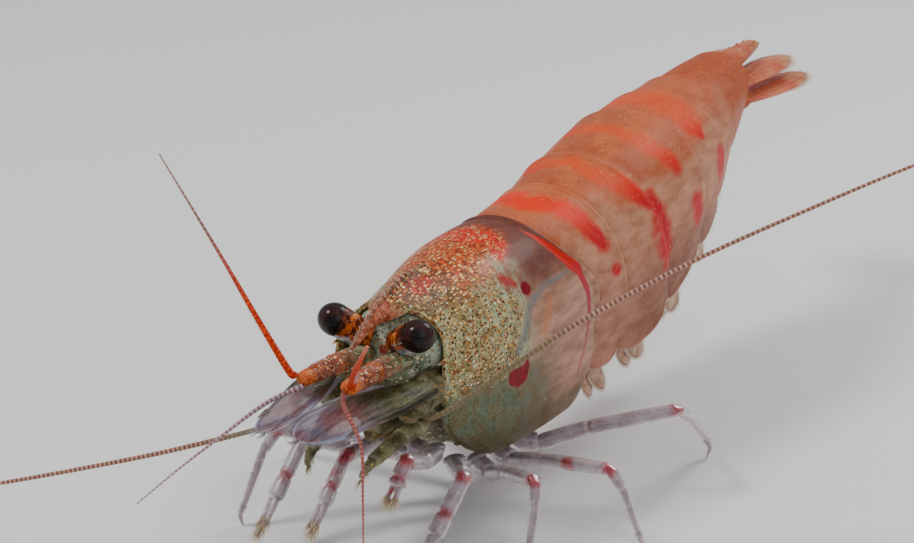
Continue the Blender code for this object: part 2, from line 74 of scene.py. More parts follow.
class Wire:  # a socket in a material; sums on it add Math nodes
    def __init__(self, tree, socket=None):
        self.tree = tree
        self.socket = socket

    def node(self, kind, settings=None, sockets=None, out=0):
        made = self.tree.nodes.new("ShaderNode" + kind)
        for name, value in (settings or {}).items():
            setattr(made, name, value)
        for name, value in (sockets or {}).items():
            if isinstance(value, Wire):
                self.tree.links.new(value.socket, made.inputs[name])
            else:
                made.inputs[name].default_value = value
        return Wire(self.tree, made.outputs[out] if made.outputs else None)

    def other(self, out):  # another output of the same node
        return Wire(self.tree, self.socket.node.outputs[out])

    def maths(self, operation, *values):
        return self.node("Math", {"operation": operation}, dict(enumerate(values)))

    def __add__(self, value):
        return self.maths("ADD", self, value)

    def __mul__(self, value):
        return self.maths("MULTIPLY", self, value)

    def __sub__(self, value):
        return self.maths("SUBTRACT", self, value)

    def __rsub__(self, value):
        return self.maths("SUBTRACT", value, self)

    def __truediv__(self, value):
        return self.maths("DIVIDE", self, value)

    def __rtruediv__(self, value):
        return self.maths("DIVIDE", value, self)

    __radd__ = __add__
    __rmul__ = __mul__

    def most(self, value):
        return self.maths("MAXIMUM", self, value)

    def size(self):
        return self.maths("ABSOLUTE", self)

    def fade(self, low, high):  # 0 at low, 1 at high, eased between
        sockets = {"Value": self, "From Min": low, "From Max": high}
        return self.node("MapRange", {"interpolation_type": "SMOOTHSTEP"}, sockets)

    def blend(self, under, over):  # two colours or colour codes, with self as the share of the second
        under, over = (paint(colour) if isinstance(colour, str) else colour for colour in (under, over))
        return self.node("Mix", {"data_type": "RGBA"}, {0: self, 6: under, 7: over}, 2)

    def tint(self, low, high, under, over):  # the first colour where self is at low, the second at high
        return self.fade(low, high).blend(under, over)

    def scaled(self, factor):
        return self.node("VectorMath", {"operation": "SCALE"}, {0: self, "Scale": factor})

    def plus(self, vector):
        return self.node("VectorMath", {"operation": "ADD"}, {0: self, 1: vector})

    def stretched(self, vector):
        return self.node("VectorMath", {"operation": "MULTIPLY"}, {0: self, 1: vector})

    def axes(self):
        x = self.node("SeparateXYZ", {}, {0: self})
        return x, x.other(1), x.other(2)

    def grain(self, scale, detail=4.0, rough=0.55):
        sockets = {"Vector": self, "Scale": scale, "Detail": detail, "Roughness": rough}
        return self.node("TexNoise", {}, sockets)

    def near(self, centre, size):  # 1 within a soft ball or ellipsoid, 0 outside it
        offset = self.plus(tuple(-c for c in centre)).stretched(tuple(1 / s for s in size))
        return offset.node("VectorMath", {"operation": "LENGTH"}, {0: offset}, 1).fade(1.15, 0.8)

    def specks(self, scale, size, spread=0.6, stretch=(1, 1, 1)):  # round specks of unlike sizes
        cell = self.node("TexVoronoi", {}, {"Vector": self.stretched(stretch), "Scale": scale})
        own = cell.node("SeparateColor", {}, {0: cell.other("Color")})
        return (cell / (own * (size * spread) + size * (1 - spread))).fade(1.2, 0.75), own.other(1)


def place(wire):  # the point on the piece, in millimetres
    return wire.node("TexCoord", out="Object").scaled(1 / mm)


def closeTo(wire, name):  # 1 in the middle of a mark's strokes, 0 at their edges and beyond
    return wire.node("Attribute", {"attribute_name": name}, out="Fac")


def mark(wire, name, soft=0.16, rough=0.35, scale=5.0):  # a painted mark with a slightly ragged edge
    close, edge = closeTo(wire, name), 0.42
    ragged = (place(wire).grain(scale, 4.0) - 0.5) * rough
    return (close + ragged * close.fade(0.0, 0.2)).fade(edge - soft, edge + soft)


def lay(wire):  # along, around and part number
    return wire.node("Attribute", {"attribute_name": "lay"}, out="Vector").axes()


wetShell = {
    "Subsurface Weight": 0.3, "Subsurface Radius": (1.0, 0.45, 0.3), "Subsurface Scale": 0.0004,
    "Coat Weight": 0.08, "Coat Roughness": 0.12, "IOR": 1.34, "Specular IOR Level": 0.22,
}
clearPart = {
    "Subsurface Weight": 0.5, "Subsurface Radius": (1.0, 0.75, 0.65), "Subsurface Scale": 0.0006,
    "Transmission Weight": 0.35, "Coat Weight": 0.35, "Coat Roughness": 0.08, "IOR": 1.36,
}
dullShell = {**wetShell, "Coat Weight": 0.02, "Specular IOR Level": 0.12}
clearHair = {
    "Subsurface Weight": 0.2, "Subsurface Radius": (1.0, 0.9, 0.8), "Subsurface Scale": 0.0002,
    "Coat Weight": 0.2, "Coat Roughness": 0.2, "IOR": 1.45,
}


def finish(name, painter, fixed):  # painter gives what varies; fixed is the same all over
    material = bpy.data.materials.new(name)
    material.use_nodes = True
    material.node_tree.nodes.clear()
    wire = Wire(material.node_tree)
    varied = dict(painter(wire))
    if "height" in varied:
        bump = {"Height": varied.pop("height"), "Distance": varied.pop("depth") * mm}
        varied["Normal"] = wire.node("Bump", {}, bump)
    shader = wire.node("BsdfPrincipled", {}, {**fixed, **varied})
    wire.node("OutputMaterial", {}, {"Surface": shader})
    return material


def layered(colour, *coats):  # lays coats over a colour, each given by its share and its own colour
    for share, coat in coats:
        colour = share.blend(colour, coat)
    return colour


def surface(colour, rough, height, depth, more=None):
    return {"Base Color": colour, "Roughness": rough, "height": height, "depth": depth, **(more or {})}


def hairPaint(root, tip):
    def painter(wire):
        fine = place(wire).grain(9.0, 2.0)
        colour = (lay(wire)[0] + fine * 0.3).tint(0.1, 1.0, root, tip)
        return {"Base Color": colour, "Roughness": fine * 0.2 + 0.35}

    return painter


# Shapes
class Clay:  # gathers the skins of one piece before it becomes an object
    def __init__(self):
        self.points = []
        self.faces = []
        self.lays = []
        self.count = 0

    def add(self, points, faces, lays):
        self.points.append(np.asarray(points, float).reshape(-1, 3))
        self.lays.append(np.asarray(lays, float).reshape(-1, 3))
        self.faces += (np.asarray(faces) + self.count).tolist()
        self.count += len(self.points[-1])

    def tube(self, rings, lays, ends, endLays, flip=False):  # rings of points, with a fan over each end
        rows, around = rings.shape[:2]
        start = self.count
        self.add(rings, gridFaces(rows, around, closed=True, flip=flip), lays)
        self.add(ends, np.zeros((0, 3), int), endLays)
        for pole, row in ((self.count - 2, 0), (self.count - 1, rows - 1)):
            ring = np.arange(around) + start + row * around
            pairs = np.stack([ring, np.roll(ring, -1)], -1).tolist()
            turned = flip if row else not flip
            self.faces += [[pole, b, a] if turned else [pole, a, b] for a, b in pairs]


def gridFaces(rows, columns, closed=False, flip=False):
    numbers = np.arange(rows * columns).reshape(rows, columns)
    if closed:
        numbers = np.hstack([numbers, numbers[:, :1]])
    corners = [numbers[:-1, :-1], numbers[:-1, 1:], numbers[1:, 1:], numbers[1:, :-1]]
    faces = np.stack(corners, -1).reshape(-1, 4)
    return faces[:, ::-1] if flip else faces


def unit(vectors):
    vectors = np.asarray(vectors, float)
    return vectors / np.maximum(np.linalg.norm(vectors, axis=-1, keepdims=True), 1e-9)


def mirrored(points, side):
    return np.array(points, float) * (side, 1, 1)


def between(a, b, t):
    return np.array(a, float) * (1 - t) + np.array(b, float) * t


def steps(line):  # distance along a line of points
    return np.concatenate([[0], np.cumsum(np.linalg.norm(np.diff(line, axis=0), axis=1))])


def onLine(line, reach, spots):  # points of a line at given distances along it
    return np.stack([np.interp(spots, reach, line[:, i]) for i in range(3)], -1)


def gridNormals(points):
    down = np.gradient(points, axis=0)
    across = np.gradient(points, axis=1)
    return unit(np.cross(across, down))


def plate(clay, outer, inner, part=0.0):  # a closed thin plate between two grids of points
    rows, columns = outer.shape[:2]
    along, around = np.meshgrid(np.linspace(0, 1, rows), np.linspace(0, 1, columns), indexing="ij")
    lays = np.stack([along, around, np.full_like(along, part)], -1)
    numbers = np.arange(rows * columns).reshape(rows, columns)
    rim = np.concatenate([numbers[0], numbers[1:, -1], numbers[-1, -2::-1], numbers[-2:0:-1, 0]])
    other = np.roll(rim, -1)
    edge = np.stack([rim, rim + rows * columns, other + rows * columns, other], -1)
    back = gridFaces(rows, columns, flip=True) + rows * columns
    faces = np.vstack([gridFaces(rows, columns), back, edge])
    clay.add(np.stack([outer, inner]), faces, np.stack([lays, lays]))


def through(points, count):  # points on the Catmull-Rom curve through the given ones
    knots = np.array(points, float)
    knots = np.vstack([2 * knots[0] - knots[1], knots, 2 * knots[-1] - knots[-2]])
    spots = np.linspace(0, len(points) - 1, count)
    spans = np.minimum(spots.astype(int), len(points) - 2)
    t = (spots - spans)[:, None]
    p0, p1, p2, p3 = (knots[spans + i] for i in range(4))
    bend = (2 * p0 - 5 * p1 + 4 * p2 - p3) * t * t
    return 0.5 * (2 * p1 + (p2 - p0) * t + bend + (3 * p1 - p0 - 3 * p2 + p3) * t ** 3)


def carried(path):  # across and up directions carried along a path without twist
    heading = unit(np.gradient(np.asarray(path, float), axis=0))
    ups = []
    current = np.array((0.0, 0.0, 1.0))
    for ahead in heading:
        current = current - ahead * current.dot(ahead)
        current = current / max(np.linalg.norm(current), 1e-9)
        ups.append(current)
    ups = np.array(ups)
    return np.cross(heading, ups), ups


def sweep(clay, path, radii, around=12, flat=1.0, part=0.0, alongs=None):  # a closed tapering tube
    path = np.asarray(path, float)
    radii = np.broadcast_to(np.asarray(radii, float), (len(path),))
    parts = np.broadcast_to(np.asarray(part, float), (len(path),))
    alongs = np.linspace(0, 1, len(path)) if alongs is None else alongs
    across, ups = carried(path)
    turn = 2 * np.pi * np.arange(around) / around
    side = np.cos(turn)[None, :, None] * across[:, None]
    rise = flat * np.sin(turn)[None, :, None] * ups[:, None]
    rings = path[:, None] + radii[:, None, None] * (side + rise)
    lays = [np.repeat(alongs, around), np.tile(turn / (2 * np.pi), len(path)), np.repeat(parts, around)]
    clay.tube(rings, np.stack(lays, -1), path[[0, -1]], [(0, 0, parts[0]), (1, 0, parts[-1])])


def thorn(clay, base, tip, radius, bend=(0, 0, 0)):  # a small pointed spine
    base, tip, bend = (np.array(point, float) for point in (base, tip, bend))
    t = np.linspace(0, 1, 7)[:, None]
    path = base + (tip - base) * t + bend * (t * (1 - t) * 4)
    sweep(clay, path, radius * (1 - t[:, 0]) ** 0.8 + 0.004, 7)


limbForm = {"step": 0.045, "swell": 0.08, "dent": 0.07, "knuckle": 0.06, "behind": 0.13, "round": 0.16}


def limb(clay, joints, radii, around=14, flat=0.9, dip=0.14):  # a jointed limb, narrower at its joints
    joints = np.array(joints, float)
    ends = steps(joints)
    reach = np.linspace(0, ends[-1], int(ends[-1] / limbForm["step"]) + 2)
    line = onLine(joints, ends, reach)
    kernel = np.hanning(11)[1:-1]  # rounds the bends
    padded = np.vstack([2 * line[0] - line[4:0:-1], line, 2 * line[-1] - line[-2:-6:-1]])
    line = np.stack([np.convolve(padded[:, i], kernel / kernel.sum(), "valid") for i in range(3)], -1)
    number = np.clip(np.searchsorted(ends, reach, side="right") - 1, 0, len(joints) - 2)
    share = (reach - ends[number]) / (ends[number + 1] - ends[number])
    first, last = np.array(radii, float).T
    radius = first[number] + (last - first)[number] * share
    radius = radius * (1 + limbForm["swell"] * np.sin(np.pi * share))
    for joint in ends[1:-1]:
        gap = reach - joint
        dent = dip * np.exp(-(gap / limbForm["dent"]) ** 2)
        bulge = limbForm["knuckle"] * np.exp(-((gap + limbForm["behind"]) / limbForm["dent"]) ** 2)
        radius = radius * (1 - dent + bulge)
    fromEnd = np.minimum(reach, ends[-1] - reach) / limbForm["round"]
    radius = radius * np.sqrt(np.clip(1 - 0.9 * np.clip(1 - fromEnd, 0, 1) ** 2, 0, 1))
    sweep(clay, line, radius, around, flat, part=number.astype(float), alongs=share)


def leafShare(t, base, fullest):  # half-width of a leaf along its length, as a share of its fullest
    rise = base + (1 - base) * np.sin(0.5 * np.pi * np.minimum(t / fullest, 1))
    fall = np.cos(0.5 * np.pi * np.clip((t - fullest) / (1 - fullest), 0, 1)) ** 0.6
    return np.maximum(np.where(t < fullest, rise, fall), 0.05)


def leaf(clay, axes, size, rib, part, rows, columns):  # a thin ribbed blade on four axes
    origin, across, along, up = axes
    t = np.linspace(0, 1, rows)[:, None]
    u = np.linspace(-1, 1, columns)[None, :]
    half = 0.5 * size["width"] * leafShare(t, size["base"], size["fullest"])
    lift = size["bow"] * (1 - u * u) * np.sin(np.pi * np.clip(t * 0.9 + 0.05, 0, 1))
    spread = half * u
    thick = size["thick"] * (1 - 0.75 * np.abs(u) ** 3) * (1 - 0.6 * t)
    ridge = rib * np.exp(-(u / 0.13) ** 2) * (1 - 0.7 * t)
    spots = origin + across * spread[..., None] + along * (size["length"] * t)[..., None]
    top = spots + up * (lift + 0.5 * thick + ridge)[..., None]
    low = spots + up * (lift - 0.5 * thick - 0.4 * ridge)[..., None]
    plate(clay, top, low, part)
    return top


def newObject(name, data):
    made = bpy.data.objects.new(name, data)
    made.location = home
    bpy.context.scene.collection.objects.link(made)
    return made


def setAttribute(mesh, name, kind, values):
    layer = mesh.attributes.new(name, kind, "POINT")
    layer.data.foreach_set("vector" if kind == "FLOAT_VECTOR" else "value", values.ravel())


def smoothMesh(name, points, faces, lays):
    mesh = bpy.data.meshes.new(name)
    mesh.from_pydata((points * mm).tolist(), [], faces)
    mesh.update()
    setAttribute(mesh, "lay", "FLOAT_VECTOR", lays)
    mesh.shade_smooth()
    return mesh


def showPiece(name, mesh, skin, nodes=()):  # nodes are the solids that the piece replaces
    mesh.materials.append(skin)
    piece = newObject(name, mesh)
    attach(piece, "root")
    if nodes:
        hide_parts(*nodes)


def toPiece(name, clay, skin, nodes, marks=None):
    points = np.vstack(clay.points)
    mesh = smoothMesh(name, points, clay.faces, np.vstack(clay.lays))
    mesh.set_sharp_from_angle(angle=math.radians(55))
    for markName, closeness in (marks or {}).items():
        setAttribute(mesh, markName, "FLOAT", closeness(points))
    showPiece(name, mesh, skin, nodes)


def dress(node, clay, skin, marks=None):  # the piece that replaces one solid, named after it
    first, *rest = node.split("_")
    toPiece(first + "".join(part.title() for part in rest), clay, skin, (node,), marks)


hairForm = {"rings": 4, "around": 3, "taper": 0.8, "patch": 0.003}  # patch: its size on the OFBake map


def bristles(name, hairs, radius, skin, droop=0.0):
    # one mesh of tapering hairs, each given by its root, way, length and place on the OFBake map
    roots, ways, lengths, places = (np.array(values, float) for values in zip(*hairs))
    rings, around, patch = hairForm["rings"], hairForm["around"], hairForm["patch"]
    ways = unit(ways)
    helper = np.where(np.abs(ways[:, 2:3]) > 0.9, [[1.0, 0, 0]], [[0, 0, 1.0]])
    across = unit(np.cross(ways, helper))
    ups = np.cross(across, ways)
    share = np.linspace(0, 1, rings + 1)
    lean = np.array([0, 0, -droop])
    points = []
    for s in share[:-1]:
        centre = roots + ways * (lengths * s)[:, None] + lean * (lengths * s * s)[:, None]
        for angle in 2 * np.pi * np.arange(around) / around:
            out = across * math.cos(angle) + ups * math.sin(angle)
            points.append(centre + out * radius * (1 - hairForm["taper"] * s))
    points.append(roots + ways * lengths[:, None] + lean * lengths[:, None])
    tip = rings * around
    faces = gridFaces(rings, around, closed=True).tolist()
    last = range(tip - around, tip)
    faces += [[a, last[(i + 1) % around], tip] for i, a in enumerate(last)] + [[2, 1, 0]]
    each = tip + 1
    allFaces = [[corner + each * n for corner in face] for n in range(len(hairs)) for face in faces]
    along = np.append(np.repeat(share[:-1], around), 1.0)
    number = np.repeat(np.arange(len(hairs)) / len(hairs), each)
    lays = np.stack([np.tile(along, len(hairs)), np.zeros(len(hairs) * each), number], -1)
    mesh = smoothMesh(name, np.stack(points, 1).reshape(-1, 3), allFaces, lays)
    corners = [(a / around * patch, s * patch) for s in share[:-1] for a in range(around)] + [(0, patch)]
    flatPlaces = (np.clip(places, 0, 0.99)[:, None] + np.array(corners)[None]).reshape(-1, 2)
    layer = mesh.uv_layers.new(name="OFBake")
    numbers = np.zeros(len(mesh.loops), int)
    mesh.loops.foreach_get("vertex_index", numbers)
    layer.data.foreach_set("uv", flatPlaces[numbers].ravel())
    showPiece(name, mesh, skin)


def strokes(points, lines, both=True):  # 1 on the lines, falling to 0 at each line's width
    spots = points * (1, 1, 1)
    if both:
        spots[:, 0] = np.abs(spots[:, 0])
    best = np.zeros(len(spots))
    for knots, widths in lines:
        knots = np.array(knots, float)
        widths = np.broadcast_to(np.array(widths, float), (len(knots),))
        parts = list(zip(knots, knots[1:], widths, widths[1:]))
        for a, b, first, last in parts or [(knots[0], knots[0] + 1e-6, widths[0], widths[0])]:
            t = np.clip(((spots - a) @ (b - a)) / max((b - a) @ (b - a), 1e-12), 0, 1)
            gap = np.linalg.norm(spots - a - t[:, None] * (b - a), axis=1)
            best = np.maximum(best, 1 - gap / (first + (last - first) * t))
    return best


# Head shell: carapace and beak in one
shell = {
    "length": 9.4, "rearNotch": 2.2, "notchFoot": 6.4, "halfWidth": 2.75, "crest": 8.9, "crestRise": 0.45,
    "waist": 5.9, "margin": 2.6, "sideShare": 0.45, "thick": 0.13,
}
beak = {
    "tip": (-2.3, 7.7), "share": 0.23, "sweep": 0.95, "depth": 0.62, "tipDepth": 0.1, "half": 0.3,
    "teeth": 16, "toothStep": 0.28125, "toothTall": 0.15, "lowTeeth": 4,
}
# the shell's front edge behind the eye and down to the lower corner: share from crest to margin, y
frontEdge = (
    (0.23, 0.0), (0.27, 0.26), (0.32, 0.5), (0.37, 0.52), (0.43, 0.36), (0.49, 0.1), (0.54, 0.0),
    (0.6, 0.08), (0.7, 0.06), (0.82, 0.1), (0.9, 0.3), (0.96, 0.75), (1.0, 1.4),
)
grooves = {
    "gill": ((2.37, 7.71, 7.72), (2.41, 5.91, 7.74), (2.47, 4.79, 7.4), (2.61, 4.21, 6.56),
             (2.62, 3.74, 6.01)),
    "cheek": ((1.5, 0.9, 7.6), (1.95, 1.6, 7.2), (2.3, 2.6, 6.3), (2.4, 2.6, 5.4)),
}


def carapaceSizes(y):
    t = y / shell["length"]
    halfWidth = shell["halfWidth"] * np.sin(np.pi * (0.23 + 0.4 * t)) ** 0.75
    crest = shell["crest"] + shell["crestRise"] * np.sin(0.5 * np.pi * t)
    front = 2.1 * np.maximum(1 - t / 0.38, 0) ** 1.6
    rear = 1.5 * (np.maximum(t - 0.8, 0) / 0.2) ** 2.2
    waist = shell["waist"] + 0.5 * np.maximum(1 - t / 0.3, 0) + 0.5 * t
    return halfWidth, crest, shell["margin"] + front + rear, waist


def rearEdge(height):
    top = shell["crest"] + shell["crestRise"] - shell["notchFoot"]
    t = np.clip((height - shell["notchFoot"]) / top, 0, 1)
    return shell["length"] - shell["rearNotch"] * t * t * (3 - 2 * t)


def carapaceSection(y, share):  # across and height at a station, from crest (0) to margin (1 or -1)
    halfWidth, crest, margin, waist = carapaceSizes(y)
    keel = 0.92 + 1.1 * np.maximum(1 - y / 6.0, 0) ** 1.5
    t = 1 - np.abs(share)
    low = 0.5 * np.pi * np.clip(t / shell["sideShare"], 0, 1)
    high = 0.5 * np.pi * np.clip((t - shell["sideShare"]) / (1 - shell["sideShare"]), 0, 1)
    below = t < shell["sideShare"]
    out = np.where(below, 1 - 0.26 * (1 - np.sin(low)) ** 2, np.abs(np.cos(high)) ** keel)
    height = np.where(below, waist + (margin - waist) * np.cos(low), waist + (crest - waist) * np.sin(high))
    return halfWidth * out * np.sign(share), height


def beakTop(k):
    return shell["crest"] + (beak["tip"][1] - shell["crest"]) * (0.55 * k + 0.45 * k * k)


def beakSizes(k):  # half-width and depth
    return beak["half"] * (1 - k) ** 0.9 + 0.05, beak["depth"] * (1 - k) ** 0.8 + beak["tipDepth"]


def beakSection(k, q, share):  # k from brow to tip, q from ridge to lower edge
    half, depth = beakSizes(k)
    out = np.sin(np.pi * np.clip(q, 0, 1) ** 0.8 * 0.86) ** 0.85 + 0.03
    return half * out * np.sign(share), beakTop(k) - depth * q ** 0.95


def headGrid(rows=170, columns=233):
    u = np.linspace(-1, 1, columns)[None, :]
    share = np.sign(u) * np.abs(u) ** 1.2
    inBeak = np.abs(share) < beak["share"]
    sigma = np.clip(np.abs(share) / beak["share"], 0, 1)
    tipY = beak["tip"][0]
    edge = np.interp(np.abs(share), *zip(*frontEdge))
    start = np.where(inBeak, tipY * (1 - sigma) ** beak["sweep"], edge)
    v = np.linspace(0, 1, rows)[:, None] ** 1.15
    y = start + (shell["length"] - start) * v
    across, height = carapaceSection(np.maximum(y, 0), share)
    k = np.clip(y / tipY, 0, 1)
    reach = np.maximum(1 - k ** (1 / beak["sweep"]), 1e-6)
    q = np.clip(sigma / reach, 0, 1)
    browAcross, browHeight = carapaceSection(np.zeros_like(y), np.sign(share) * q * beak["share"])
    bladeAcross, bladeHeight = beakSection(k, q, share)
    ease = np.clip(k / 0.4, 0, 1)
    ease = ease * ease * (3 - 2 * ease)
    drop = beakTop(k) - shell["crest"]
    inFront = inBeak & (y < 0)
    across = np.where(inFront, browAcross + (bladeAcross - browAcross) * ease, across)
    front = (browHeight + drop) * (1 - ease) + bladeHeight * ease
    height = np.where(inFront, front, height)
    along = np.where(y > 0, y * rearEdge(height) / shell["length"], y)
    points = np.stack([across, along, height], -1)
    return points, share, k, np.broadcast_to(inBeak, y.shape)


def relief(points, inBeak):  # rolled edges, grooves and the low crest behind the beak
    length = np.linalg.norm(np.diff(points, axis=0), axis=-1)
    fromFront = np.vstack([np.zeros((1, points.shape[1])), np.cumsum(length, axis=0)])
    fromRear = fromFront[-1:] - fromFront
    width = np.linalg.norm(np.diff(points, axis=1), axis=-1)
    left = np.hstack([np.zeros((points.shape[0], 1)), np.cumsum(width, axis=1)])
    fromLow = np.minimum(left, left[:, -1:] - left)
    frontLip = np.where(inBeak, 0.0, 0.055 * np.exp(-(fromFront / 0.09) ** 2))
    frontLip -= np.where(inBeak, 0.0, 0.035 * np.exp(-((fromFront - 0.24) / 0.1) ** 2))
    lift = frontLip + 0.05 * np.exp(-((fromRear - 0.06) / 0.09) ** 2)
    lift -= 0.045 * np.exp(-((fromRear - 0.34) / 0.13) ** 2)
    lift += 0.05 * np.exp(-(fromLow / 0.1) ** 2) - 0.03 * np.exp(-((fromLow - 0.28) / 0.12) ** 2)
    flat = points.reshape(-1, 3)
    for name, depth, width in (("gill", 0.07, 0.34), ("cheek", 0.05, 0.3)):
        close = strokes(flat, [(grooves[name], width)]).reshape(lift.shape)
        lift -= depth * close * close * (3 - 2 * close)
    crest = np.exp(-(points[..., 0] / 0.13) ** 2) * np.clip(1 - points[..., 1] / 4.2, 0, 1)
    lift += 0.1 * crest * np.clip(points[..., 1] / 0.8 + 0.2, 0, 1)
    return points + gridNormals(points) * lift[..., None]


headMarks = {  # strokes: knots, then the half-widths there
    "red": [
        (((0.9, 6.75, 9.2), (1.54, 7.08, 8.81), (2.06, 7.5, 8.24), (2.37, 8.2, 7.62)),
         (0.06, 0.22, 0.34, 0.4)),
        (((2.37, 8.2, 7.62), (2.60, 8.5, 6.79), (2.65, 8.6, 5.88), (2.66, 8.3, 4.9), (2.68, 7.78, 4.19)),
         (0.4, 0.3, 0.24, 0.2, 0.16)),
        (((2.57, 3.5, 5.3), (2.6, 3.78, 5.24), (2.63, 4.02, 5.24)), (0.52, 0.62, 0.54)),
        (((2.64, 4.08, 5.27), (2.66, 4.24, 5.46), (2.67, 4.3, 5.74)), (0.5, 0.32, 0.08)),
        (((2.22, 4.84, 7.9),), 0.44),
    ],
    "smear": [(((2.06, 4.42, 8.14), (1.86, 4.08, 8.36)), (0.24, 0.42))],
    "orange": [
        (((0.0, 0.2, 8.9), (0.3, 2.0, 8.95), (0.5, 3.4, 9.05)), (1.3, 2.0, 2.1)),
        (((0.5, 3.4, 9.05), (0.3, 5.0, 9.25)), (2.1, 1.5)),
    ],
    "deep": [(((0.0, 4.9, 9.3), (0.5, 5.3, 9.25), (1.0, 5.2, 9.1), (1.3, 4.7, 8.95)), (0.9, 0.75, 0.6, 0.4)),
             (((0.45, 1.0, 8.8), (0.5, 1.5, 8.9)), (0.5, 0.42))],
    "groove": [(grooves["gill"], (0.12, 0.2, 0.3, 0.34, 0.2))],
    "streak": [(((2.56, 5.95, 7.3), (2.64, 5.66, 6.85), (2.7, 5.36, 6.4)), (0.2, 0.42, 0.3))],
    "pale": [
        (((1.41, 0.6, 7.85), (1.6, 1.0, 7.86), (1.85, 1.35, 7.62), (2.0, 1.7, 7.42)),
         (0.12, 0.13, 0.12, 0.08)),
        (((1.5, 0.5, 8.0), (1.75, 0.62, 7.5), (1.95, 0.3, 7.08), (2.02, 0.1, 6.6)), (0.16, 0.22, 0.2, 0.16)),
        (((2.02, 0.2, 6.4), (2.1, 0.35, 5.9), (2.15, 0.5, 5.6)), (0.16, 0.22, 0.14)),
        # painted highlight: this pale stroke on the cheek stands for a white highlight; the strokes above
        # are the pale rim behind the orbit
        (((2.16, 2.7, 7.9), (2.2, 2.8, 7.7), (2.25, 2.95, 7.4)), (0.2, 0.26, 0.2)),
    ],
    "blush": [(((1.26, 3.9, 8.86), (1.4, 3.55, 8.72)), (0.34, 0.26))],
    "brim": [(((0.42, -0.55, 8.0), (0.55, -0.2, 8.1), (0.8, 0.1, 8.15)), (0.16, 0.24, 0.16))],
}


